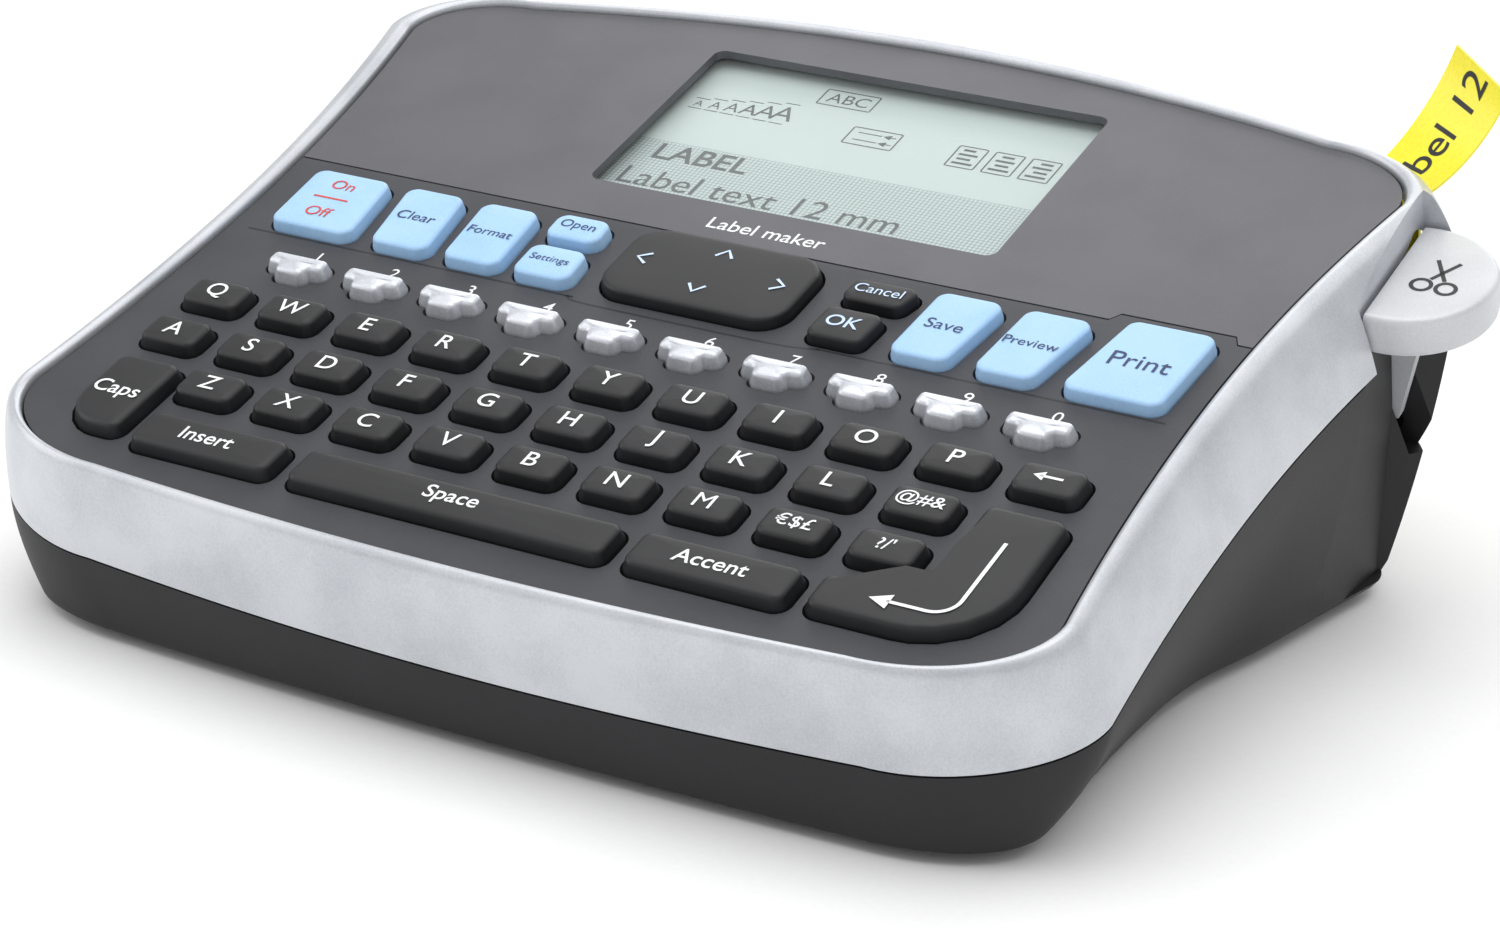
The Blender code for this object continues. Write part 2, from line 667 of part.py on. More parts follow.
def housing_shell(name, kind, parent):
    """Open-topped shell: outer wall up, inner wall down, with a floor of the same wall."""
    shares = [1.0, 0.93, 0.75, 0.5, 0.25, 0.0]
    outer = [housing_ring(share, 0.0) for share in shares]
    edge = outer[0].copy()
    centre = edge.mean(axis=0)
    outer[0][:, :2] = centre[:2] + (edge[:, :2] - centre[:2]) * 0.975
    inner = [housing_ring(share, HOUSING_WALL) for share in shares[::-1]]
    return ring_solid(name, outer + inner, kind, parent)


def recess_plan(grow=0.0):
    """Plan of the scoop beside the cutter: a flat wall, then a wall slanting out to the rear."""
    outer = RECESS_X + 16 * MM
    return np.array([
        (RECESS_X - grow, RECESS_FRONT_Y - grow),
        (outer, RECESS_FRONT_Y - grow),
        (outer, RECESS_REAR_Y + 14 * MM + grow),
        (RECESS_X - grow, RECESS_REAR_Y + grow),
    ])


def door_box(name, x_range, z_range, room, parent):
    """Guide block that spans a door's place in the rear wall."""
    near, far = DECK_REAR - 16 * MM, DECK_REAR + 30 * MM
    corners = [
        (x_range[0] - room, near), (x_range[1] + room, near),
        (x_range[1] + room, far), (x_range[0] - room, far),
    ]
    made = prism(name, np.array(corners), z_range[0] - room, z_range[1] + room, None, parent)
    return as_guide(made)


CASSETTE_DOOR_X = (12 * MM, 44 * MM)
BATTERY_DOOR_X = (-50 * MM, -14 * MM)
DOOR_Z = (7 * MM, 38 * MM)
DOOR_SWING_ROOM = 0.6 * MM
JACK_X = -1 * MM
JACK_Z = 12 * MM
JACK_BORE = 3.2 * MM
SCREW_PLACES = np.array([
    (-56 * MM, 28 * MM), (56 * MM, 28 * MM),
    (-66 * MM, DECK_REAR - 29.4 * MM), (44 * MM, DECK_REAR - 39.4 * MM),
])
FOOT_PLACES = np.array([
    (-52 * MM, 14 * MM), (52 * MM, 14 * MM),
    (-58 * MM, DECK_REAR - 15.4 * MM), (58 * MM, DECK_REAR - 15.4 * MM),
])


def corner_names(prefix):
    return [prefix + "_" + place for place in ("front_left", "front_right", "rear_left",
                                               "rear_right")]


FOOT_RADIUS = 5 * MM
FOOT_SUNK = 0.9 * MM
SCREW_HEAD = 2.8 * MM
SCREW_SHANK = 1.4 * MM
POST_RADIUS = 4.0 * MM
POST_HEIGHT = 9 * MM


def build_housing(body, deck):
    housing = housing_shell("lower_housing", "black_abs", body)
    screws, feet = SCREW_PLACES, FOOT_PLACES
    floor_top = FOOT_HEIGHT + HOUSING_WALL

    posts = guide_prisms("screw_posts", [circle(place, POST_RADIUS, 12) for place in screws],
                         floor_top - 1 * MM, floor_top + POST_HEIGHT, body)
    combine(housing, posts, "UNION")
    spring_x, spring_y, spring_top = spring_place()
    seat = guide_prisms("spring_seat", [circle((spring_x, spring_y), SPRING_RADIUS + 0.6 * MM)],
                        floor_top - 1 * MM, spring_top - SPRING_LENGTH - 2 * SPRING_WIRE, body)
    combine(housing, seat, "UNION")
    backing = prism("recess_backing", recess_plan(HOUSING_WALL), FOOT_HEIGHT + 2.6 * MM,
                    90 * MM, None, body)
    envelope = ring_solid("housing_envelope",
                          [housing_ring(share, HOUSING_WALL / 2)
                           for share in (0.93, 0.75, 0.5, 0.25, 0.03)],
                          None, body)
    combine(backing, envelope, "INTERSECT")
    as_guide(envelope)
    combine(housing, backing, "UNION")
    scoop = prism("recess_scoop", recess_plan(), FOOT_HEIGHT + 1.6 * MM, 90 * MM, None, body)
    combine(housing, scoop)
    slot = guide_prisms("arm_slot_housing", [arm_slot()], arm_reach(), 9 * MM, deck)
    combine(housing, slot)
    combine(housing, tape_notch(body))
    for name, x_range in (("cassette_doorway", CASSETTE_DOOR_X),
                          ("battery_doorway", BATTERY_DOOR_X)):
        combine(housing, door_box(name, x_range, DOOR_Z, GAP * 1.4, body))
    heads = guide_prisms("screw_heads", [circle(place, SCREW_HEAD + GAP, 16) for place in screws],
                         -5 * MM, FOOT_HEIGHT + 2.4 * MM, body)
    combine(housing, heads)
    shanks = guide_prisms("screw_shanks",
                          [circle(place, SCREW_SHANK + GAP, 12) for place in screws],
                          -5 * MM, floor_top + POST_HEIGHT + 2 * MM, body)
    combine(housing, shanks)
    pockets = guide_prisms("foot_pockets",
                           [circle(place, FOOT_RADIUS + GAP, 20) for place in feet],
                           -5 * MM, FOOT_HEIGHT + FOOT_SUNK, body)
    combine(housing, pockets)
    jack_way = turned("jack_way", [(JACK_BORE + 1.2 * MM, -40 * MM), (JACK_BORE + 1.2 * MM, 40 * MM)],
                      20, None, body, frame_at((JACK_X, DECK_LENGTH, JACK_Z), (1, 0, 0), (0, 1, 0)))
    combine(housing, as_guide(jack_way))
    smooth(housing, 40)

    for name, place in zip(corner_names("foot"), feet):
        top = FOOT_HEIGHT + FOOT_SUNK - GAP
        turned(name, [(FOOT_RADIUS - 0.4 * MM, 0), (FOOT_RADIUS, 0.4 * MM), (FOOT_RADIUS, top)],
               20, "foot_rubber", body, Matrix.Translation((*place, 0)))
    for name, place in zip(corner_names("housing_screw"), screws):
        under = FOOT_HEIGHT + 0.5 * MM
        seat = FOOT_HEIGHT + 2.4 * MM - GAP
        tip = floor_top + POST_HEIGHT - 1 * MM
        turned(name, [(SCREW_HEAD, under), (SCREW_HEAD, seat), (SCREW_SHANK, seat),
                      (SCREW_SHANK, tip)], 12, "steel", body, Matrix.Translation((*place, 0)))


def rear_wall_at(x):
    """How far back the outer wall stands at a place across, low down where a door hangs."""
    wall = housing_ring(0.9, 0.0)
    back = wall[wall[:, 1] > DECK_LENGTH * 0.7]
    back = back[np.argsort(back[:, 0])]
    return np.interp(x, back[:, 0], back[:, 1])


def build_doors(body):
    """Doors cut from the same wall as the housing, each hung on its lower outer edge."""
    z_range = (DOOR_Z[0], DOOR_Z[1] - DOOR_SWING_ROOM)
    for name, x_range in (("cassette_door", CASSETTE_DOOR_X), ("battery_door", BATTERY_DOOR_X)):
        door = housing_shell(name, "black_abs", body)
        hinge_y = max(rear_wall_at(x) for x in x_range)
        hinge = Vector(((x_range[0] + x_range[1]) / 2, hinge_y, DOOR_Z[0]))
        door.data.transform(Matrix.Translation(-hinge))
        door.location = hinge
        combine(door, door_box(name + "_area", x_range, z_range, 0, body), "INTERSECT")
        smooth(door, 40)


# --- cutter --------------------------------------------------------------------------------

def build_cutter(deck):
    """Paddle with its arm, which slides straight into the deck, and the blade on the arm."""
    bottom = PADDLE_TOP - PADDLE_THICK
    centre = (*PADDLE_CENTRE, PADDLE_TOP)
    plan = paddle_outline()
    middle = np.array(PADDLE_CENTRE)
    rings = [
        level(middle + (plan - middle) * 0.97, bottom),
        level(plan, bottom + 0.8 * MM),
        level(plan, PADDLE_TOP - 0.6 * MM),
        level(middle + (plan - middle) * 0.95, PADDLE_TOP),
    ]
    lever = ring_solid("cutter_lever", rings, "cutter_grey", deck, at=centre)
    half = ARM_THICK / 2
    gusset = np.array([
        (ARM_INNER_X, bottom + 0.9 * MM), (ARM_INNER_X, bottom - ARM_DROP),
        (RECESS_X - 1.2 * MM, bottom - ARM_DROP), (RECESS_X - 0.6 * MM, bottom - GUSSET_DROP),
        (RECESS_X + 0.6 * MM, bottom - GUSSET_DROP), (RECESS_X + 6.0 * MM, bottom + 0.9 * MM),
    ])
    rings = [np.column_stack([gusset[:, 0], np.full(len(gusset), s), gusset[:, 1]]) - centre
             for s in (ARM_S - half, ARM_S + half)]
    arm = ring_solid("cutter_arm", rings, None, deck)
    arm.location = centre
    combine(lever, arm, "UNION")
    bar_rear = ARM_S + half - 0.2 * MM
    bar_plan = [(ARM_INNER_X + 0.2 * MM, bar_rear - BAR_LENGTH),
                (ARM_INNER_X + BAR_WIDTH, bar_rear - BAR_LENGTH),
                (ARM_INNER_X + BAR_WIDTH, bar_rear), (ARM_INNER_X + 0.2 * MM, bar_rear)]
    bar = prism("cutter_bar", np.array(bar_plan) - centre[:2], bottom - ARM_DROP - centre[2],
                bottom - ARM_DROP + BAR_THICK - centre[2], None, deck)
    bar.location = centre
    combine(lever, bar, "UNION")
    smooth(lever, 40)

    blade_x = ARM_INNER_X + 2.6 * MM
    blade_low = ARM_S + half + GAP
    blade = np.array([
        (blade_low, bottom - 1.6 * MM), (blade_low + 3.2 * MM, bottom - 1.6 * MM),
        (blade_low + 3.2 * MM, bottom - 3 * MM), (blade_low, bottom - 6 * MM),
    ])
    rings = [np.column_stack([np.full(4, x), blade]) for x in (blade_x, blade_x + 0.6 * MM)]
    ring_solid("cutter_blade", rings, "steel", deck, at=(blade_x, ARM_S, bottom))


def spring_place():
    """Top centre of the cutter's spring, under the inner end of the arm, in the body frame."""
    arm_bottom = PADDLE_TOP - PADDLE_THICK - ARM_DROP
    front = ARM_S + ARM_THICK / 2 - BAR_LENGTH + SPRING_RADIUS
    x, y, z = on_deck([(ARM_INNER_X + SPRING_RADIUS, front)], arm_bottom)[0]
    return x, y, z - SPRING_RADIUS * np.sin(DECK_TILT) - GAP - 2 * SPRING_WIRE


def build_spring(body):
    """Upright coil spring that lifts the cutter again."""
    turn = np.linspace(0, 2 * np.pi * SPRING_TURNS, SPRING_TURNS * 10 + 1)
    points = np.column_stack([
        SPRING_RADIUS * np.cos(turn), SPRING_RADIUS * np.sin(turn),
        -SPRING_LENGTH * turn / turn[-1], np.ones(len(turn)),
    ])
    curve = bpy.data.curves.new("cutter_spring", "CURVE")
    curve.dimensions = "3D"
    curve.bevel_depth = SPRING_WIRE
    curve.bevel_resolution = 1
    curve.use_fill_caps = True
    line = curve.splines.new("POLY")
    line.points.add(len(points) - 1)
    line.points.foreach_set("co", points.ravel())
    curve.materials.append(finish("steel"))
    spring = bpy.data.objects.new("cutter_spring", curve)
    bpy.context.scene.collection.objects.link(spring)
    spring.parent = body
    spring.location = spring_place()


# --- label path ----------------------------------------------------------------------------

def print_frame(body):
    """Empty at the foot of the label path, with X across the label and Z up."""
    unit = bpy.data.objects.new("print_unit", None)
    bpy.context.scene.collection.objects.link(unit)
    unit.parent = body
    unit.location = (*TAPE_CENTRE, 0)
    unit.rotation_euler = (0, 0, TAPE_TURN)
    return unit


TAPE_INSIDE = [(-2.0, -7.0, 22.0), (-2.0, -7.0, 32.0), (-1.2, -3.6, 38.0), (-0.4, -0.6, 43.0),
               (-0.5, -0.4, 49.5)]
TAPE_EXIT = (-0.7, 0.8, 53.4)
TAPE_FREE = 18 * MM
TAPE_RISE = (np.radians(32), np.radians(85))
TAPE_LEAN = np.radians(18)


def build_tape(unit):
    """Printed label: up from the print head, out over the rear corner, then curling upwards."""
    share = np.linspace(0, 1, 11)
    lean = TAPE_LEAN * share
    rise = TAPE_RISE[0] + (TAPE_RISE[1] - TAPE_RISE[0]) * share
    side = np.column_stack([np.cos(lean), np.zeros(len(lean)), -np.sin(lean)])
    ahead = np.column_stack([np.zeros(len(lean)), np.cos(rise), np.sin(rise)])
    ahead -= side * np.sum(ahead * side, axis=1)[:, None]
    ahead /= np.linalg.norm(ahead, axis=1)[:, None]
    steps = (ahead[1:] + ahead[:-1]) / 2 * TAPE_FREE / (len(share) - 1)
    leave = np.array(TAPE_EXIT) * MM
    line = np.vstack([np.array(TAPE_INSIDE) * MM, leave, leave + np.cumsum(steps, axis=0)])
    along = np.gradient(line, axis=0)
    along /= np.linalg.norm(along, axis=1)[:, None]
    tilt = np.concatenate([np.zeros(len(TAPE_INSIDE)), lean])
    across = np.column_stack([np.cos(tilt), np.zeros(len(line)), -np.sin(tilt)])
    outward = np.cross(along, across)
    outward /= np.linalg.norm(outward, axis=1)[:, None]
    corners = [(-1, -1), (1, -1), (1, 1), (-1, 1)]
    rings = []
    for place, side, face in zip(line, across, outward):
        rings.append([place + side * a * TAPE_WIDTH / 2 + face * b * TAPE_THICK / 2
                      for a, b in corners])
    ring_solid("label_tape", rings, "tape_yellow", unit)


def gear_profile(teeth, pitch_radius, depth):
    """Outline of a spur gear with straight-sided teeth."""
    turn = np.linspace(0, 2 * np.pi, teeth * 4, endpoint=False)
    radius = np.tile([pitch_radius - depth, pitch_radius + depth, pitch_radius + depth,
                      pitch_radius - depth], teeth)
    return np.column_stack([radius * np.cos(turn), radius * np.sin(turn)])


HEAD_THICK = 2.2 * MM
ROLLER_RADIUS = 4 * MM
ROLLER_Z = 26.5 * MM
GEAR_WIDTH = 3 * MM
GEAR_TOOTH = 0.45 * MM
PLATEN_TEETH = 16
IDLER_TEETH = 24
IDLER_LEAN = np.radians(28)
MOTOR_TEETH = 10
TOOTH_MODULE = 0.6 * MM
MOTOR_RADIUS = 7.5 * MM


def build_drive(unit):
    """Print head, platen roller, gear train and motor beside the label path."""
    tape_x, tape_y = np.array(TAPE_INSIDE[0][:2]) * MM
    face = TAPE_THICK / 2 + GAP
    head_at = (tape_x, tape_y + face + HEAD_THICK / 2)
    prism("print_head", box_corners(head_at, (13 * MM, HEAD_THICK)),
          ROLLER_Z - 4.5 * MM, ROLLER_Z + 4.5 * MM, "white_acetal", unit)
    roller_y = tape_y - face - ROLLER_RADIUS
    across = (1, 0, 0)
    roller_at = Vector((tape_x, roller_y, ROLLER_Z))
    turned("platen_roller", [(1.2 * MM, -7.6 * MM), (1.2 * MM, -6.2 * MM),
                             (ROLLER_RADIUS, -6.2 * MM), (ROLLER_RADIUS, 6.2 * MM)],
           20, "key_rubber", unit, frame_at(roller_at, (0, 1, 0), across))
    gear_x = tape_x - 7.6 * MM - GAP - GEAR_WIDTH / 2
    platen_pitch = PLATEN_TEETH * TOOTH_MODULE / 2
    idler_pitch = IDLER_TEETH * TOOTH_MODULE / 2
    motor_pitch = MOTOR_TEETH * TOOTH_MODULE / 2
    mesh_gap = 2 * GEAR_TOOTH + 0.35 * MM
    platen_centre = Vector((gear_x, roller_y, ROLLER_Z))
    idler_way = Vector((0, -np.sin(IDLER_LEAN), -np.cos(IDLER_LEAN)))
    idler_centre = platen_centre + idler_way * (platen_pitch + idler_pitch + mesh_gap)
    motor_centre = idler_centre - Vector((0, idler_pitch + motor_pitch + mesh_gap, 0))
    for name, teeth, pitch, centre in (
            ("platen_gear", PLATEN_TEETH, platen_pitch, platen_centre),
            ("idler_gear", IDLER_TEETH, idler_pitch, idler_centre),
            ("motor_gear", MOTOR_TEETH, motor_pitch, motor_centre)):
        gear = prism(name, gear_profile(teeth, pitch, GEAR_TOOTH), -GEAR_WIDTH / 2,
                     GEAR_WIDTH / 2, "white_acetal", unit)
        gear.matrix_local = frame_at(centre, (0, 1, 0), across)
    motor_at = motor_centre + Vector((GEAR_WIDTH / 2 + GAP, 0, 0))
    turned("drive_motor", [(MOTOR_RADIUS * 0.9, 0), (MOTOR_RADIUS, 1 * MM),
                           (MOTOR_RADIUS, 19 * MM), (MOTOR_RADIUS * 0.9, 20 * MM)],
           20, "steel", unit, frame_at(motor_at, (0, 1, 0), across))


CASSETTE_LOW = (20 * MM, DECK_REAR - 54.4 * MM, 4 * MM)
CASSETTE_SIZE = (17 * MM, 48 * MM, 27 * MM)
SPOOL_RADIUS = 12 * MM


def build_cassette(body):
    """Tape cassette with a round pocket in its side, and the spool that turns in it."""
    low, size = np.array(CASSETTE_LOW), np.array(CASSETTE_SIZE)
    shell = prism("cassette_body", rounded(box_corners(low[:2] + size[:2] / 2, size[:2]),
                                           1.5 * MM), low[2], low[2] + size[2],
                  "cassette_grey", body)
    spool_at = Vector((low[0], low[1] + size[1] * 0.45, low[2] + size[2] / 2))
    pocket = turned("spool_pocket", [(SPOOL_RADIUS + 1 * MM, -5 * MM),
                                     (SPOOL_RADIUS + 1 * MM, size[0] - 1.5 * MM)],
                    28, None, body, frame_at(spool_at, (0, 1, 0), (1, 0, 0)))
    combine(shell, as_guide(pocket))
    turned("tape_spool", [(SPOOL_RADIUS, 1 * MM), (SPOOL_RADIUS, 13.5 * MM),
                          (4 * MM, 13.5 * MM), (4 * MM, 14.8 * MM)],
           24, "tape_yellow", body, frame_at(spool_at, (0, 1, 0), (1, 0, 0)))


BATTERY_LOW = (-49 * MM, DECK_REAR - 57.4 * MM, 7.5 * MM)
BATTERY_SIZE = (34 * MM, 42 * MM, 18 * MM)


def build_power(body):
    """Rechargeable pack behind its door, and the charger socket in the rear wall."""
    low, size = np.array(BATTERY_LOW), np.array(BATTERY_SIZE)
    prism("battery_pack", rounded(box_corners(low[:2] + size[:2] / 2, size[:2]), 3 * MM),
          low[2], low[2] + size[2], "battery_wrap", body)
    mouth = DECK_REAR + 4.5 * MM
    jack = prism("dc_jack", box_corners((JACK_X, mouth - 7 * MM), (9 * MM, 14 * MM)),
                 JACK_Z - 5 * MM, JACK_Z + 5 * MM, "black_abs", body)
    bore = turned("jack_bore", [(JACK_BORE, -9 * MM), (JACK_BORE, 5 * MM)], 20, None, body,
                  frame_at((JACK_X, mouth, JACK_Z), (1, 0, 0), (0, 1, 0)))
    combine(jack, as_guide(bore))


# --- assembly ------------------------------------------------------------------------------

def add_empty(name, parent=None):
    made = bpy.data.objects.new(name, None)
    bpy.context.scene.collection.objects.link(made)
    made.parent = parent
    return made


def centre_footprint(body):
    """Move the body frame so that the origin is the middle of everything, on the table."""
    graph = bpy.context.evaluated_depsgraph_get()
    lows, highs = [], []
    for item in bpy.context.scene.objects:
        if item.type not in {"MESH", "CURVE"} or item.hide_render:
            continue
        shape = item.evaluated_get(graph)
        mesh = shape.to_mesh()
        points = np.empty(len(mesh.vertices) * 3)
        mesh.vertices.foreach_get("co", points)
        points = points.reshape(-1, 3) @ np.array(shape.matrix_world.to_3x3()).T
        points = points + np.array(shape.matrix_world.translation)
        lows.append(points.min(axis=0))
        highs.append(points.max(axis=0))
        shape.to_mesh_clear()
    middle = (np.min(lows, axis=0) + np.max(highs, axis=0)) / 2
    body.location = (-middle[0], -middle[1], 0)


def main():
    clear_scene()
    body = add_empty("body_frame")
    deck = add_empty("deck_frame", body)
    deck.location = (0, 0, DECK_FRONT_HEIGHT)
    deck.rotation_euler = (DECK_TILT, 0, 0)
    holes = build_keys(deck)
    build_panels(deck, holes)
    build_boards(deck)
    build_bezel(body, deck)
    build_housing(body, deck)
    build_doors(body)
    build_cutter(deck)
    build_spring(body)
    unit = print_frame(body)
    build_tape(unit)
    build_drive(unit)
    build_cassette(body)
    build_power(body)
    centre_footprint(body)


main()
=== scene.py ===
"""Looks of a desktop label maker: shells, keys, display, cutter, printed label and studio.

The CAD frame is loaded first. Every new surface is a grid of points worked out with numpy in
millimetres of the deck (x to the right, s back along the deck, h out of the deck) or of the body
(x, y, z above the table), and is then placed in the row frame in metres.
"""

import json

import bpy
import numpy as np
from bpy.props import FloatProperty, FloatVectorProperty, PointerProperty
from bpy.types import Operator, Panel, PropertyGroup
from mathutils import Matrix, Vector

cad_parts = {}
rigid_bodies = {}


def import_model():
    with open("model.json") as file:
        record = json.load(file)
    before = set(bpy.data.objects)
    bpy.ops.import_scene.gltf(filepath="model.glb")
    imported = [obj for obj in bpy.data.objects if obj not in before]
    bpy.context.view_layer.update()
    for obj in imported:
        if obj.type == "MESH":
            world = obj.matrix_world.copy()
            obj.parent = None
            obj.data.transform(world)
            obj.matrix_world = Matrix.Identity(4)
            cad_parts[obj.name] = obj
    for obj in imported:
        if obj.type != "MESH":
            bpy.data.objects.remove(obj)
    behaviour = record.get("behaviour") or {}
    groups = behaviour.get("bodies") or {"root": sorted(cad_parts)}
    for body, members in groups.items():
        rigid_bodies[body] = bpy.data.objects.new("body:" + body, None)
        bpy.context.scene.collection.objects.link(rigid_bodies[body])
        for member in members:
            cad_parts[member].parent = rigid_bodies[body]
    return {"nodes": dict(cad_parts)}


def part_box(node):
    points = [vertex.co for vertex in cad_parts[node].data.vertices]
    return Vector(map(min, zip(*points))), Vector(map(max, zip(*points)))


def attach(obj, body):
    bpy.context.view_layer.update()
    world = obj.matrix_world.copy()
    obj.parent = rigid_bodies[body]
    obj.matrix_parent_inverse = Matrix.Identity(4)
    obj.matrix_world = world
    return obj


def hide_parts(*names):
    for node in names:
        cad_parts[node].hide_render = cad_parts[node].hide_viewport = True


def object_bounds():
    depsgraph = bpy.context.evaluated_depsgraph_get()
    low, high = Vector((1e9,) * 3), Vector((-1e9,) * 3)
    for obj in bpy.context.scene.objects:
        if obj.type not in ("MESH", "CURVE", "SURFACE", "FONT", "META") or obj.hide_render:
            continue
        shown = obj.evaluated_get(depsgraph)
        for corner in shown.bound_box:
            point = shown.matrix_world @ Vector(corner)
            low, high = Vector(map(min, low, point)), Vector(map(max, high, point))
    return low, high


bl_info = {
    "name": "Desktop label maker",
    "version": (1, 0, 0),
    "blender": (4, 5, 0),
    "location": "3D View > Sidebar > Label maker",
    "description": "Builds the shells, keys, display, cutter, label and studio of a label maker",
    "category": "Object",
}

for leftover in list(bpy.data.objects):
    bpy.data.objects.remove(leftover, do_unlink=True)
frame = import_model()
CAD_BOX = [list(corner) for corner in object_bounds()]
MM = 0.001

# --- sizes of the shells, in millimetres, as the CAD has them -------------------------------

DECK_TILT = np.radians(16.25)
DECK_LENGTH = 124.4
DECK_FRONT_HEIGHT = 23.9
DECK_REAR = DECK_LENGTH * np.cos(DECK_TILT)
HALF_WIDTH_WAIST = 69.3
WIDEN_FRONT, WIDEN_REAR = 1.8, 5.0
WAIST_AT = 55.0
FRONT_BOW, REAR_BOW = 1.7, 4.4
FRONT_CORNER = (20.0, 15.2)
REAR_CORNER = (14.4, 11.6)
BOW_SPAN = 0.72 * HALF_WIDTH_WAIST
GAP = 0.3
BEZEL_FRONT, BEZEL_REAR = 4.5, 6.0
BEZEL_SIDE_FRONT, BEZEL_SIDE_REAR = 5.0, 9.0
BEZEL_DEPTH = 12.0
HOUSING_WALL = 2.0
FOOT_HEIGHT = 1.2
FOOT_FRONT_Y = 14.0
BASE_FRONT_INSET, BASE_REAR_OUTSET = 2.5, 7.0
BASE_FLARE, FLARE_AT, FLARE_LENGTH = 1.6, 70.0, 9.0
RECESS_X, RECESS_FRONT_Y, RECESS_REAR_Y = 75.0, DECK_REAR - 33.8, DECK_REAR - 11.6
PANEL_THICK = 1.2
SEAM_AT = 72.2
GROOVE_AT = 54.3
WINDOW_CENTRE, WINDOW_SIZE = (1.2, 98.2), (60.2, 35.8)
WINDOW_HEIGHTS, LENS_LIP = (-2.5, -1.5), 1.6
LCD_TOP, LCD_THICK, LCD_LIP = -PANEL_THICK - GAP - 1.0 - GAP, 2.0, 2.6

KEY_PITCH = 11.87
FIRST_KEY_X, FIRST_NUMBER_X = -59.2, -53.4
KEY_SIZE = (8.0, 4.9)
KEY_RISE, KEY_DRAFT, KEY_ROUND = 2.0, 0.6, 1.1
FUNCTION_RISE, FUNCTION_DRAFT = 1.8, 0.3
KEY_GAP = 0.35
FLANGE_LOW, FLANGE_TOP = -2.4, -1.6
KEY_FLANGE, FUNCTION_FLANGE = 1.05, 0.8
THROUGH_DECK = (-9, 9)

PADDLE_CENTRE, PADDLE_RADIUS, PADDLE_CHORD_X = (79.3, 99.8), 11.05, 77.3
PADDLE_TOP, PADDLE_THICK = -4.0, 5.4
CUTTER_TRAVEL, CUTTER_GAP = 4.5, 0.5
ARM_S, ARM_THICK, ARM_INNER_X, ARM_DROP, GUSSET_DROP = 105.5, 2.0, 67.5, 6.6, 21.0
BAR_LENGTH, BAR_WIDTH, BAR_THICK = 14.0, 4.6, 3.4

TAPE_CENTRE, TAPE_TURN = (70.6, DECK_REAR - 3.8), np.radians(-34.0)
UNIT_SPIN = np.array([[np.cos(TAPE_TURN), np.sin(TAPE_TURN)],
                      [-np.sin(TAPE_TURN), np.cos(TAPE_TURN)]])
TAPE_WIDTH, TAPE_THICK = 12.0, 0.35
TAPE_FREE, TAPE_RISE, TAPE_LEAN = 18.0, np.radians((32, 85)), np.radians(18)
TAPE_INSIDE = [(-2.0, -7.0, 22.0), (-2.0, -7.0, 32.0), (-1.2, -3.6, 38.0), (-0.4, -0.6, 43.0),
               (-0.5, -0.4, 49.5)]
TAPE_EXIT = (-0.7, 0.8, 53.4)
SLOT_SIZE, SLOT_FRONT, SLOT_LOW, SLOT_HIGH = (14.5, 11.0), -2.2, 39.0, 80.0


def body_origin():
    """Where the body's own origin lies in the row frame, from the two front feet."""
    left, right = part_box("foot_front_left"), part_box("foot_front_right")
    x = (left[0][0] + right[1][0]) / 2
    y = (left[0][1] + left[1][1]) / 2 - FOOT_FRONT_Y * MM
    return np.array([x, y, 0.0])


ORIGIN = body_origin()


def in_body(points):
    """Row-frame metres of body millimetres: points / 1000 + origin."""
    return np.asarray(points, float) * MM + ORIGIN


def on_deck(points, h):
    """Row-frame metres of deck points: y = s cos t - h sin t, z = front + s sin t + h cos t."""
    points = np.asarray(points, float)
    x, s = points[..., 0], points[..., 1]
    y = s * np.cos(DECK_TILT) - h * np.sin(DECK_TILT)
    z = DECK_FRONT_HEIGHT + s * np.sin(DECK_TILT) + h * np.cos(DECK_TILT)
    return in_body(np.stack([x, y, z + 0 * x], axis=-1))


# --- outlines -------------------------------------------------------------------------------

def half_width(s):
    """Half width at s: waist + squares of the distance in front of and behind the waist."""
    front = WIDEN_FRONT * (np.clip(WAIST_AT - s, 0, None) / 36) ** 2
    rear = WIDEN_REAR * (np.clip(s - WAIST_AT, 0, None) / 50) ** 2
    return HALF_WIDTH_WAIST + front + rear


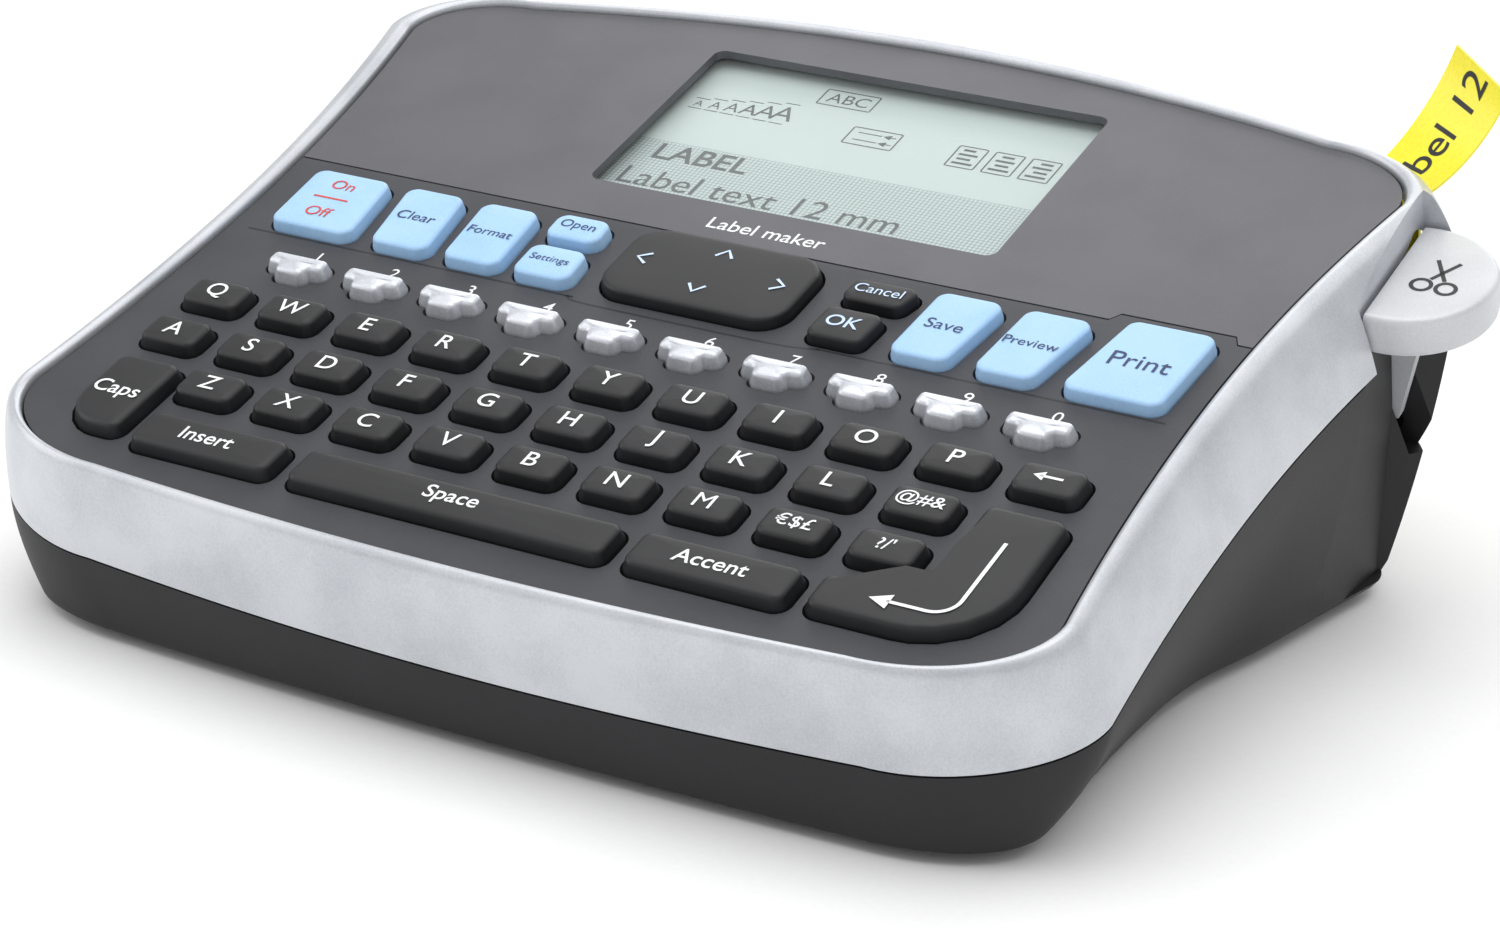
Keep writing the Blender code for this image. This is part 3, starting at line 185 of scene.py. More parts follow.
def deck_outline(reach=0.0):
    """Outline of the deck, pushed outwards by reach (1 is the bezel's outer edge).

    Front and rear are parabolas, corners are quarter ellipses, sides follow half_width. The
    push is side width * (x / half width)^2 across and end width * middle^8 along.
    """
    corner_s = FRONT_CORNER[1]
    rear_s = DECK_LENGTH - REAR_CORNER[1] - REAR_BOW * 1.2
    side_s = np.linspace(corner_s, rear_s, 70)[1:-1]
    turn = np.radians(np.linspace(0, 90, 30))
    front_x = half_width(corner_s) - FRONT_CORNER[0]
    rear_x = half_width(rear_s) - REAR_CORNER[0]
    front_flat = np.linspace(0, front_x, 30)[:-1]
    rear_flat = np.linspace(rear_x, 0, 30)[1:]
    front_start = FRONT_BOW * (front_x / BOW_SPAN) ** 2
    rear_end = DECK_LENGTH - REAR_BOW * (rear_x / BOW_SPAN) ** 2
    x = np.concatenate([
        front_flat, front_x + FRONT_CORNER[0] * np.sin(turn), half_width(side_s),
        rear_x + REAR_CORNER[0] * np.cos(turn), rear_flat,
    ])
    s = np.concatenate([
        FRONT_BOW * (front_flat / BOW_SPAN) ** 2,
        corner_s - (corner_s - front_start) * np.cos(turn), side_s,
        rear_s + (rear_end - rear_s) * np.sin(turn),
        DECK_LENGTH - REAR_BOW * (rear_flat / BOW_SPAN) ** 2,
    ])
    share = np.clip(s / DECK_LENGTH, 0, 1)
    side = BEZEL_SIDE_FRONT + (BEZEL_SIDE_REAR - BEZEL_SIDE_FRONT) * share
    x = x + reach * side * np.clip(x / half_width(s), 0, 1) ** 2
    middle = (share - 0.5) * 2
    end = np.where(middle > 0, BEZEL_REAR, BEZEL_FRONT)
    s = s + reach * end * np.sign(middle) * middle ** 8
    right = np.column_stack([x, s])
    return np.vstack([right, right[1:-1][::-1] * [-1, 1]])


def rounded(corners, radius, steps=7):
    """Polygon with arcs for corners: each arc is the unit bisector fan about its centre."""
    corners = np.asarray(corners, float)
    radii = np.broadcast_to(radius, len(corners))[:, None]
    before = np.roll(corners, 1, axis=0) - corners
    after = np.roll(corners, -1, axis=0) - corners
    before /= np.linalg.norm(before, axis=1)[:, None]
    after /= np.linalg.norm(after, axis=1)[:, None]
    half = np.arccos(np.clip(np.sum(before * after, axis=1), -1, 1))[:, None] / 2
    bisector = before + after
    bisector /= np.linalg.norm(bisector, axis=1)[:, None]
    centre = corners + bisector * radii / np.sin(half)
    start = corners + before * radii / np.tan(half) - centre
    end = corners + after * radii / np.tan(half) - centre
    share = np.linspace(0, 1, steps + 1)[None, :, None]
    fan = start[:, None] * (1 - share) + end[:, None] * share
    fan /= np.maximum(np.linalg.norm(fan, axis=2, keepdims=True), 1e-9)
    return (centre[:, None] + fan * radii[:, None]).reshape(-1, 2)


def grown(corners, amount):
    """The polygon with each side moved out by amount, along the sum of its two normals."""
    corners = np.asarray(corners, float)
    before = corners - np.roll(corners, 1, axis=0)
    after = np.roll(corners, -1, axis=0) - corners
    normal_a = np.column_stack([before[:, 1], -before[:, 0]])
    normal_b = np.column_stack([after[:, 1], -after[:, 0]])
    normal_a /= np.linalg.norm(normal_a, axis=1)[:, None]
    normal_b /= np.linalg.norm(normal_b, axis=1)[:, None]
    bisector = normal_a + normal_b
    return corners + bisector * amount * 2 / np.sum(bisector ** 2, axis=1)[:, None]


def box_corners(centre, size):
    """Corners of a rectangle: centre plus or minus half the size."""
    signs = np.array([(-1, -1), (1, -1), (1, 1), (-1, 1)])
    return np.asarray(centre) + signs * np.asarray(size) / 2


def smooth_line(points, steps):
    """Catmull-Rom curve through the points, with the same number of steps in each span."""
    points = np.asarray(points, float)
    padded = np.vstack([2 * points[0] - points[1], points, 2 * points[-1] - points[-2]])
    a, b, c, d = (padded[i:len(padded) - 3 + i, None] for i in range(4))
    t = np.linspace(0, 1, steps, endpoint=False)[None, :, None]
    curve = 0.5 * (2 * b + (c - a) * t + (2 * a - 5 * b + 4 * c - d) * t ** 2
                   + (3 * b - a - 3 * c + d) * t ** 3)
    return np.vstack([curve.reshape(-1, points.shape[1]), points[-1:]])


# --- meshes ---------------------------------------------------------------------------------

def mesh_object(name, points, faces, finish, smooth=True):
    """Object at the origin from points in metres and faces, with one finish."""
    mesh = bpy.data.meshes.new(name)
    mesh.from_pydata(np.asarray(points).tolist(), [], [list(face) for face in faces])
    mesh.polygons.foreach_set("use_smooth", np.full(len(mesh.polygons), smooth))
    mesh.validate()
    made = bpy.data.objects.new(name, mesh)
    bpy.context.scene.collection.objects.link(made)
    if finish is not None:
        made.data.materials.append(finish)
    return made


def grid_faces(rows, columns, wrap_rows=False):
    """Quads of a grid whose columns close on themselves: (r, c), (r, c+1), (r+1, c+1), (r+1, c)."""
    r = np.arange(rows if wrap_rows else rows - 1)[:, None]
    c = np.arange(columns)[None, :]
    far = (r + 1) % rows
    side = (c + 1) % columns
    return np.stack(np.broadcast_arrays(r * columns + c, r * columns + side,
                                        far * columns + side, far * columns + c),
                    axis=-1).reshape(-1, 4)


def shell_arrays(rings, cyclic=False):
    """Points and faces of a skin over rings (rows, columns, 3), with its ends closed."""
    rings = np.asarray(rings, float)
    rows, columns = rings.shape[:2]
    faces = grid_faces(rows, columns, cyclic).tolist()
    if not cyclic:
        faces.append(list(range(columns))[::-1])
        faces.append(list(range((rows - 1) * columns, rows * columns)))
    return rings.reshape(-1, 3), faces


def joined(parts):
    """One pair of points and faces from many."""
    points, faces, count = [], [], 0
    for part_points, part_faces in parts:
        points.append(np.asarray(part_points))
        faces += [[index + count for index in face] for face in part_faces]
        count += len(part_points)
    return np.vstack(points), faces


def outward(made):
    """Turns the faces outwards when the shape's signed volume is negative."""
    mesh = made.data
    mesh.calc_loop_triangles()
    corners = np.empty(len(mesh.loop_triangles) * 3, int)
    mesh.loop_triangles.foreach_get("vertices", corners)
    places = np.empty(len(mesh.vertices) * 3)
    mesh.vertices.foreach_get("co", places)
    a, b, c = places.reshape(-1, 3)[corners.reshape(-1, 3)].transpose(1, 0, 2)
    if np.sum(a * np.cross(b, c)) < 0:
        mesh.flip_normals()
    return made


def at_height(outline, z):
    """Places a body outline (x, y) level at height z."""
    return in_body(np.column_stack([outline, np.full(len(outline), float(z))]))


def carve(target, parts, operation="DIFFERENCE"):
    """Cuts, joins or keeps closed parts with an exact Boolean, and bakes the result."""
    tool = outward(mesh_object("tool", *joined(parts), None))
    modifier = target.modifiers.new("carve", "BOOLEAN")
    modifier.operation = operation
    modifier.solver = "EXACT"
    modifier.use_self = operation == "UNION"
    modifier.object = tool
    graph = bpy.context.evaluated_depsgraph_get()
    baked = bpy.data.meshes.new_from_object(target.evaluated_get(graph))
    target.modifiers.clear()
    old = target.data
    target.data = baked
    baked.name = old.name
    bpy.data.meshes.remove(old)
    bpy.data.objects.remove(tool)
    return target


def crisp(made, angle=32):
    """Smooth shading that breaks on edges sharper than the angle."""
    made.data.polygons.foreach_set("use_smooth", np.ones(len(made.data.polygons), bool))
    made.data.set_sharp_from_angle(angle=np.radians(angle))
    made.data.update()
    return made


def finished(made, body, *nodes):
    """The piece rides on its body and stands for the CAD nodes."""
    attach(made, body)
    if nodes:
        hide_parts(*nodes)
    return made


# --- materials ------------------------------------------------------------------------------

def linear(hex_colour):
    """Linear RGB of an sRGB hex colour: ((c + 0.055) / 1.055) ^ 2.4 above the dark toe."""
    part = np.array([int(hex_colour[i:i + 2], 16) for i in (1, 3, 5)]) / 255
    return tuple(np.where(part <= 0.04045, part / 12.92, ((part + 0.055) / 1.055) ** 2.4))


def node(tree, kind, links=(), inputs=(), **settings):
    """Adds a node; settings are attributes or inputs by name, inputs are values by key."""
    made = tree.nodes.new(kind)
    for key, value in settings.items():
        if hasattr(made, key):
            setattr(made, key, value)
        else:
            made.inputs[key].default_value = value
    for key, value in dict(inputs).items():
        made.inputs[key].default_value = value
    for key, socket in dict(links).items():
        tree.links.new(socket, made.inputs[key])
    return made


FINISHES = {
    # kind: material, colour, deeper colour, grain mm, bump mm, roughness, other settings
    "bezel": ("silver_metallic_paint", "#cdd0d5", "#b4b8be", 0.28, 0.02, 0.38,
              {"metallic": 0.5, "spread": 0.08, "coat": 0.15}),
    "housing": ("spark_eroded_black_abs", "#131317", "#0b0b0e", 0.3, 0.05, 0.58, {}),
    "keyboard": ("fine_grained_dark_abs", "#3b3c41", "#2f3035", 0.35, 0.035, 0.52, {}),
    "display": ("satin_grey_painted_abs", "#5a5a5f", "#505055", 0.3, 0.01, 0.4,
                {"spread": 0.03}),
    "black_key": ("black_silicone_rubber", "#17181b", "#0e0f11", 0.25, 0.02, 0.46, {}),
    "blue_key": ("light_blue_silicone_rubber", "#a9cff3", "#95bfe8", 0.3, 0.012, 0.42,
                 {"depth": 0.15}),
    "silver_key": ("silver_painted_key", "#dcdfe5", "#bfc3ca", 0.25, 0.015, 0.34,
                   {"metallic": 0.5}),
    "cutter": ("light_grey_painted_abs", "#d3d5d8", "#c3c5c9", 0.3, 0.02, 0.42,
               {"metallic": 0.2}),
    "label": ("yellow_polyester_tape", "#fdf02c", "#f3e322", 0.6, 0.004, 0.28, {"coat": 0.4}),
    "window": ("clear_acrylic_window", "#e9efed", "#dfe6e4", 0.5, 0.001, 0.08,
               {"spread": 0.02, "alpha": 0.08}),
    "steel": ("nickel_plated_steel", "#c9c9cb", "#a9a9ad", 0.2, 0.004, 0.28, {"metallic": 1.0}),
    "board": ("glass_fibre_circuit_board", "#1f7a45", "#176238", 0.5, 0.01, 0.4, {}),
    "mat": ("grey_silicone_mat", "#6f7276", "#5f6266", 0.4, 0.01, 0.6, {}),
    "cassette": ("grey_polystyrene", "#7f8286", "#6f7276", 0.4, 0.01, 0.4, {}),
    "roller": ("black_nitrile_rubber", "#2b2b2d", "#202022", 0.3, 0.02, 0.6, {}),
    "battery": ("blue_shrink_sleeve", "#31456b", "#26375a", 0.5, 0.006, 0.3, {}),
    "acetal": ("white_acetal", "#e6e6e1", "#d8d8d2", 0.5, 0.006, 0.35, {}),
    "foot": ("dark_foot_rubber", "#2c2c2e", "#202022", 0.3, 0.03, 0.75, {}),
    "paper": ("matt_studio_paper", "#f5f5f5", "#f1f1f1", 1.0, 0.0, 0.9, {}),
}
INKS = {
    "white_ink": ("white_screen_ink", "#f4f5f6", "#e4e6e9"),
    "black_ink": ("black_screen_ink", "#1b1c1f", "#26272b"),
    "navy_ink": ("navy_screen_ink", "#1d2f58", "#26396a"),
    "red_ink": ("red_screen_ink", "#cf3f2b", "#d84c37"),
    "pale_ink": ("pale_blue_screen_ink", "#cfe2ff", "#bcd4f8"),
    # painted shade: dark ink for the strip that stands for the shade in the keyboard's fine groove
    "groove": ("groove_shadow", "#17181b", "#101114"),
    "segments": ("lcd_segments", "#2d3636", "#3a4444"),
}
FINISHES.update({kind: (*ink, 0.2, 0.004, 0.45, {"spread": 0.04})
                 for kind, ink in INKS.items()})
BROAD_GRAINS = 40
CAD_FINISHES = {
    "dc_jack": "housing", "cutter_blade": "steel", "cutter_spring": "steel",
    "drive_motor": "steel", "main_board": "board", "keypad_mat": "mat",
    "cassette_body": "cassette", "tape_spool": "label", "platen_roller": "roller",
    "battery_pack": "battery", "platen_gear": "acetal", "idler_gear": "acetal",
    "motor_gear": "acetal", "print_head": "acetal",
}


def surface(kind):
    """Plastic, paint, rubber or ink: two grains on Object coordinates vary colour and gloss.

    The fine grain is the tool's texture, paint flakes or the screen's mesh, and also gives the
    bump; the broad one, forty times as wide, is the flow of the moulding. The deeper colour
    keeps its share of the user's colour, where the user may choose one.
    """
    name, colour, deeper, grain_mm, bump_mm, roughness, more = FINISHES[kind]
    made = bpy.data.materials.get(name)
    if made:
        return made
    made = bpy.data.materials.new(name)
    made.use_nodes = True
    tree = made.node_tree
    shader = tree.nodes["Principled BSDF"]
    chosen = getattr(bpy.context.scene.label_maker_colours, kind, linear(colour))
    share = np.array(linear(deeper)) / np.array(linear(colour))
    scale = 1 / (grain_mm * MM)
    place = node(tree, "ShaderNodeTexCoord").outputs["Object"]
    fine = node(tree, "ShaderNodeTexNoise", {"Vector": place}, Scale=scale, Detail=2.0,
                Roughness=0.6).outputs["Fac"]
    broad = node(tree, "ShaderNodeTexNoise", {"Vector": place}, Scale=scale / BROAD_GRAINS,
                 Detail=3.0)
    mixed = node(tree, "ShaderNodeMath", {0: fine, 2: broad.outputs["Fac"]}, {1: 0.7},
                 operation="MULTIPLY_ADD")
    ramp = node(tree, "ShaderNodeValToRGB", {"Fac": mixed.outputs[0]})
    low, high = ramp.color_ramp.elements
    low.position, high.position = 0.5, 1.0
    low.color = (*(np.array(chosen) * share), 1)
    high.color = (*chosen, 1)
    spread = more.get("spread", 0.06)
    gloss = node(tree, "ShaderNodeMapRange", {"Value": fine},
                 {"To Min": max(roughness - spread, 0.03), "To Max": roughness + spread})
    bump = node(tree, "ShaderNodeBump", {"Height": fine}, Strength=0.5, Distance=bump_mm * MM)
    for socket, source in (("Base Color", ramp.outputs["Color"]),
                           ("Roughness", gloss.outputs["Result"]),
                           ("Normal", bump.outputs["Normal"])):
        tree.links.new(source, shader.inputs[socket])
    constants = {"Metallic": more.get("metallic", 0.0), "Coat Weight": more.get("coat", 0.0),
                 "Coat Roughness": 0.2, "Subsurface Weight": more.get("depth", 0.0),
                 "Subsurface Radius": (0.4 * MM, 0.6 * MM, 0.9 * MM) if "depth" in more
                 else (1.0, 0.2, 0.1), "Alpha": more.get("alpha", 1.0)}
    for socket, value in constants.items():
        shader.inputs[socket].default_value = value
    return made


PIXEL_PITCH, PIXEL_GAP_SHARE, PIXEL_GRID_HEIGHT = 0.62, 0.2, 15.6


def lcd_material():
    """Reflective liquid crystal glass: pale grey-green, with the pixel grid of its lower part.

    UV is in millimetres from the window's front left corner. Grid lines are where the
    fraction of u or v over the pixel pitch is under the gap's share, below the grid's top.
    """
    made = bpy.data.materials.new("reflective_lcd_glass")
    made.use_nodes = True
    tree = made.node_tree
    shader = tree.nodes["Principled BSDF"]

    def maths(operation, first, second):
        values = {1: second} if isinstance(second, float) else {}
        links = {0: first} if values else {0: first, 1: second}
        return node(tree, "ShaderNodeMath", links, values, operation=operation).outputs[0]

    place = node(tree, "ShaderNodeUVMap", uv_map="millimetres").outputs["UV"]
    split = node(tree, "ShaderNodeSeparateXYZ", {"Vector": place})
    lines = []
    for axis in ("X", "Y"):
        cell = maths("DIVIDE", split.outputs[axis], PIXEL_PITCH)
        part = node(tree, "ShaderNodeMath", {0: cell}, operation="FRACT").outputs[0]
        lines.append(maths("LESS_THAN", part, PIXEL_GAP_SHARE))
    below = maths("LESS_THAN", split.outputs["Y"], PIXEL_GRID_HEIGHT)
    shown = maths("MULTIPLY", maths("MAXIMUM", *lines), below)
    cloud = node(tree, "ShaderNodeTexNoise", {"Vector": place}, Scale=0.05, Detail=1.0)
    glow = node(tree, "ShaderNodeMapRange", {"Value": cloud.outputs["Fac"]},
                {"To Min": 0.94, "To Max": 1.04})
    colour = node(tree, "ShaderNodeMix", {"Factor": shown},
                  {6: (*linear("#bccbc8"), 1), 7: (*linear("#76878a"), 1)}, data_type="RGBA")
    shade = node(tree, "ShaderNodeMix", {6: colour.outputs[2], 7: glow.outputs["Result"]},
                 {0: 1.0}, data_type="RGBA", blend_type="MULTIPLY")
    tree.links.new(shade.outputs[2], shader.inputs["Base Color"])
    shader.inputs["Roughness"].default_value = 0.35
    return made


# --- lettering and symbols ------------------------------------------------------------------

def letter_arrays(word, size, bold=0.0):
    """Flat points and faces of a word, size millimetres high in capitals, centred on 0, 0."""
    curve = bpy.data.curves.new("word", "FONT")
    curve.body = word
    curve.size = size * 1.4
    curve.offset = bold
    curve.align_x = "CENTER"
    curve.align_y = "CENTER"
    item = bpy.data.objects.new("word", curve)
    bpy.context.scene.collection.objects.link(item)
    graph = bpy.context.evaluated_depsgraph_get()
    mesh = bpy.data.meshes.new_from_object(item.evaluated_get(graph))
    points = np.empty(len(mesh.vertices) * 3)
    mesh.vertices.foreach_get("co", points)
    faces = [list(face.vertices) for face in mesh.polygons]
    bpy.data.objects.remove(item)
    bpy.data.curves.remove(curve)
    bpy.data.meshes.remove(mesh)
    points = points.reshape(-1, 3)[:, :2]
    middle = (points.min(axis=0) + points.max(axis=0)) / 2
    return points - middle, faces


def stroke(path, width, closed=False):
    """Ribbon along a path: each point moved half the width to both sides of its tangent."""
    path = np.asarray(path, float)
    if closed:
        ahead = np.roll(path, -1, axis=0) - np.roll(path, 1, axis=0)
    else:
        ahead = np.gradient(path, axis=0)
    ahead /= np.linalg.norm(ahead, axis=1)[:, None]
    side = np.column_stack([-ahead[:, 1], ahead[:, 0]]) * width / 2
    count = len(path)
    a = np.arange(count if closed else count - 1)
    b = (a + 1) % count
    faces = np.column_stack([a + count, b + count, b, a])
    return np.vstack([path + side, path - side]), faces.tolist()


def polygon(corners):
    corners = np.asarray(corners, float)
    return corners, [list(range(len(corners)))]


def shifted(shape, x, s):
    """A flat shape moved to (x, s)."""
    points, faces = shape
    return points + [x, s], faces


def printed(name, shapes, height, finish, body, place=on_deck):
    """One printed layer from flat shapes, lying at a height of the deck."""
    points, faces = joined(shapes)
    made = mesh_object(name, place(points, height), faces, finish, smooth=False)
    up = made.data.polygons[0].normal.z
    if up < 0:
        made.data.flip_normals()
    return finished(made, body)


# --- keys -----------------------------------------------------------------------------------

def outgrown(corners, radius, amount, steps):
    """Rounded outline moved outwards: outer corners rounder, inner corners tighter."""
    corners = np.asarray(corners, float)
    before = corners - np.roll(corners, 1, axis=0)
    after = np.roll(corners, -1, axis=0) - corners
    outer = before[:, 0] * after[:, 1] - before[:, 1] * after[:, 0] > 0
    radii = np.broadcast_to(radius, len(corners))
    radii = np.where(outer, np.maximum(radii + amount, 0.05), np.maximum(radii - amount, 0.1))
    return rounded(grown(corners, amount), radii, steps)


def key_cap(corners, radius, rise, draft, fillet, crown=0.12, steps=6):
    """Points and faces of one key cap.

    Skirt rings go from the foot (outset draft, below the panel) up to the start of the
    fillet, a quarter circle of the given radius carries them inwards, and the top rings
    shrink towards the middle while a parabola lifts them by crown.
    """
    turn = np.linspace(0, np.pi / 2, 7)
    skirt = np.array([(draft, FLANGE_TOP), (draft, 0.1), (draft * 0.35, rise - fillet - crown)])
    shoulder = np.column_stack([
        draft * 0.35 - (draft * 0.35 + fillet) * (1 - np.cos(turn[1:])),
        rise - crown - fillet * (1 - np.sin(turn[1:])),
    ])
    profile = np.vstack([skirt, shoulder])
    rings = [on_deck(outgrown(corners, radius, out, steps), h) for out, h in profile]
    rim = outgrown(corners, radius, profile[-1][0], steps)
    middle = (rim.min(axis=0) + rim.max(axis=0)) / 2
    for share in (0.85, 0.6, 0.3):
        rings.append(on_deck(middle + (rim - middle) * share,
                             rise - crown + crown * (1 - share ** 2)))
    return shell_arrays(rings)


def letter_corners(x, s):
    return box_corners((x, s), KEY_SIZE)


def number_corners(x, s):
    """Three-lobed key: a bar with a short lobe in front of its middle."""
    return np.array([
        (x - 1.9, s - 2.3), (x + 1.9, s - 2.3), (x + 1.9, s - 0.7), (x + 4.0, s - 0.7),
        (x + 4.0, s + 1.3), (x - 4.0, s + 1.3), (x - 4.0, s - 0.7), (x - 1.9, s - 0.7),
    ])


NUMBER_RADII = np.array([0.7, 0.7, 0.8, 0.6, 0.6, 0.6, 0.6, 0.8])
NUMBER_HOLE_RADII = np.array([0.5, 0.5, 0.8, 0.6, 0.6, 0.6, 0.6, 0.8])


def quad(left_front, right_front, front, left_rear, right_rear, rear):
    return np.array([(left_front, front), (right_front, front), (right_rear, rear),
                     (left_rear, rear)], float)


ENTER_CORNERS = np.array([
    (43.8, 7.2), (65.4, 7.2), (65.0, 30.6), (55.3, 30.6), (55.3, 12.7), (43.8, 12.7),
])
ENTER_RADII = np.array([1.2, 10.5, 1.2, 1.2, 3.2, 1.2])
BLUE_KEYS = {
    "on_off_key": quad(-63.4, -50.8, 55.3, -64.0, -52.5, 68.3),
    "clear_key": quad(-47.2, -38.7, 55.3, -49.3, -40.6, 68.3),
    "format_key": quad(-35.9, -27.7, 55.3, -37.3, -28.9, 68.3),
    "settings_key": quad(-25.3, -17.0, 55.3, -25.6, -17.6, 61.9),
    "open_key": quad(-25.7, -17.9, 64.2, -26.0, -18.4, 69.3),
    "save_key": quad(29.2, 36.9, 55.3, 29.9, 38.8, 69.0),
    "preview_key": quad(40.7, 48.4, 55.3, 41.9, 50.9, 69.0),
    "print_key": quad(52.3, 65.2, 55.3, 54.9, 66.2, 71.0),
}
NAV_CORNERS = quad(-13.4, 13.4, 55.6, -13.4, 13.4, 70.4)
OK_KEYS = {
    "ok_key": quad(17.7, 25.2, 55.3, 18.0, 25.7, 61.6),
    "cancel_key": quad(18.2, 26.3, 63.9, 18.5, 27.5, 68.3),
}
WIDE_KEYS = {
    "caps_key": (quad(-62.3, -53.6, 7.8, -62.3, -53.6, 21.6), [5.5, 1.2, 1.2, 1.6]),
    "insert_key": (quad(-50.4, -30.3, 6.6, -50.4, -30.3, 12.4), 1.2),
    "space_key": (quad(-26.8, 17.0, 6.6, -26.8, 17.0, 12.4), 1.2),
    "accent_key": (quad(20.3, 40.8, 6.6, 20.3, 40.8, 12.4), 1.2),
    "enter_key": (ENTER_CORNERS, ENTER_RADII),
    "backspace_key": (letter_corners(FIRST_KEY_X + 10 * KEY_PITCH, 37.5), KEY_ROUND),
}
ROWS = {
    "upper_keys": (FIRST_KEY_X, 37.5, "QWERT", "YUIOP"),
    "middle_keys": (FIRST_KEY_X, 28.4, "ASDFG", ["H", "J", "K", "L", "@#&"]),
    "lower_keys": (FIRST_KEY_X + KEY_PITCH, 19.6, "ZXCVB", ["N", "M", "€$£", "?/'"]),
}
NUMBER_ROW = (FIRST_NUMBER_X, 47.3, "12345", "67890")
SOFT_ROUND, NAV_ROUND, OK_ROUND = 1.6, 4.0, 1.2


def all_holes():
    """Outline of every key's hole in the panel: the key's foot plus the gap."""
    plan = [(corners, SOFT_ROUND, FUNCTION_DRAFT, 6) for corners in BLUE_KEYS.values()]
    plan.append((NAV_CORNERS, NAV_ROUND, FUNCTION_DRAFT, 8))
    plan += [(corners, OK_ROUND, FUNCTION_DRAFT, 6) for corners in OK_KEYS.values()]
    plan += [(corners, radius, KEY_DRAFT, 6) for corners, radius in WIDE_KEYS.values()]
    for first, s, left, right in ROWS.values():
        plan += [(letter_corners(first + k * KEY_PITCH, s), KEY_ROUND, KEY_DRAFT, 5)
                 for k in range(len(left) + len(right))]
    first, s, left, right = NUMBER_ROW
    plan += [(number_corners(first + k * KEY_PITCH, s), NUMBER_HOLE_RADII, KEY_DRAFT, 5)
             for k in range(len(left) + len(right))]
    return [outgrown(corners, radius, draft + KEY_GAP, steps)
            for corners, radius, draft, steps in plan]


# --- shells ---------------------------------------------------------------------------------

BEZEL_PROFILE = [
    # reach outwards (0 deck edge, 1 outer edge), height above the deck
    (0.07, -1.3), (0.07, 0.2), (0.12, 0.75), (0.22, 1.0), (0.34, 0.75), (0.48, -0.1),
    (0.62, -2.1), (0.76, -4.8), (0.88, -8.0), (0.97, -11.0), (0.995, -12.0),
]


def bezel_rings():
    """Smooth outer skin from the deck edge over the crest to the parting line, then inside."""
    skin = smooth_line(BEZEL_PROFILE, 5)
    inside = 1 - HOUSING_WALL / BEZEL_SIDE_FRONT
    back = [(inside, -BEZEL_DEPTH), (inside * 0.55, -5.5), (0.18, -2.4), (0.07, -2.4)]
    profile = np.vstack([skin, back])
    return [on_deck(deck_outline(reach), h) for reach, h in profile]


def deck_prism(outline, low, high):
    return shell_arrays([on_deck(outline, low), on_deck(outline, high)])


def body_prism(outline, low, high):
    return shell_arrays([at_height(outline, low), at_height(outline, high)])


def paddle_outline(room=0.0, steps=48):
    """Half disc whose chord faces the bezel, grown by room."""
    radius = PADDLE_RADIUS + room
    lean = np.arccos((PADDLE_CHORD_X - room - PADDLE_CENTRE[0]) / radius)
    turn = np.linspace(-lean, lean, steps)
    return np.column_stack([PADDLE_CENTRE[0] + radius * np.cos(turn),
                            PADDLE_CENTRE[1] + radius * np.sin(turn)])


def arm_slot():
    half = ARM_THICK / 2 + CUTTER_GAP
    inner, outer = RECESS_X - HOUSING_WALL - CUTTER_GAP, PADDLE_CHORD_X + 8
    return np.array([(inner, ARM_S - half), (outer, ARM_S - half),
                     (outer, ARM_S + half), (inner, ARM_S + half)])


ARM_LOW = PADDLE_TOP - PADDLE_THICK - GUSSET_DROP - CUTTER_TRAVEL - CUTTER_GAP


def label_notch():
    """Plan of the notch in the rear right corner that the label comes out of."""
    flat = box_corners((0, SLOT_FRONT + SLOT_SIZE[1] / 2), SLOT_SIZE)
    return flat @ UNIT_SPIN + TAPE_CENTRE


def base_outline(inset=0.0):
    """Flat bottom's outline: deck outline, flared behind, with its ends pushed by middle^6."""
    outline = deck_outline()
    x, s = outline[:, 0], outline[:, 1]
    y = s * np.cos(DECK_TILT)
    flare = BASE_FLARE * np.tanh((y - FLARE_AT) / FLARE_LENGTH)
    edge = np.clip(np.abs(x) / half_width(s), 0, 1) ** 4
    x = x + np.sign(x) * (flare - inset) * edge
    middle = (y / DECK_REAR - 0.5) * 2
    push = np.where(middle > 0, BASE_REAR_OUTSET - inset, -BASE_FRONT_INSET - inset)
    return np.column_stack([x, y + push * np.sign(middle) * np.abs(middle) ** 6])


def housing_ring(share, inset):
    """Wall ring: parting line at share 0, bottom at 1, blended by share^1.6 in plan."""
    top = on_deck(deck_outline(0.995 - inset / BEZEL_SIDE_FRONT), -BEZEL_DEPTH - GAP)
    bottom = at_height(base_outline(inset), FOOT_HEIGHT + inset)
    draw = share ** 1.6
    ring = top * (1 - draw) + bottom * draw
    ring[:, 2] = top[:, 2] * (1 - share) + bottom[:, 2] * share
    return ring


def housing_arrays():
    """Open-topped shell: outer wall with a rounded foot, floor, and inner wall."""
    shares = np.concatenate([[1.0, 0.985, 0.96, 0.93], np.linspace(0.85, 0, 16)])
    outer = [housing_ring(share, 0.0) for share in shares]
    centre = outer[0].mean(axis=0)
    for ring, pull in zip(outer, (0.975, 0.988, 0.996, 1.0)):
        ring[:, :2] = centre[:2] + (ring[:, :2] - centre[:2]) * pull
    inner = [housing_ring(share, HOUSING_WALL) for share in shares[::-1]]
    return shell_arrays(outer + inner)


def recess_plan(grow=0.0):
    outer = RECESS_X + 16
    return np.array([(RECESS_X - grow, RECESS_FRONT_Y - grow), (outer, RECESS_FRONT_Y - grow),
                     (outer, RECESS_REAR_Y + 14 + grow), (RECESS_X - grow, RECESS_REAR_Y + grow)])


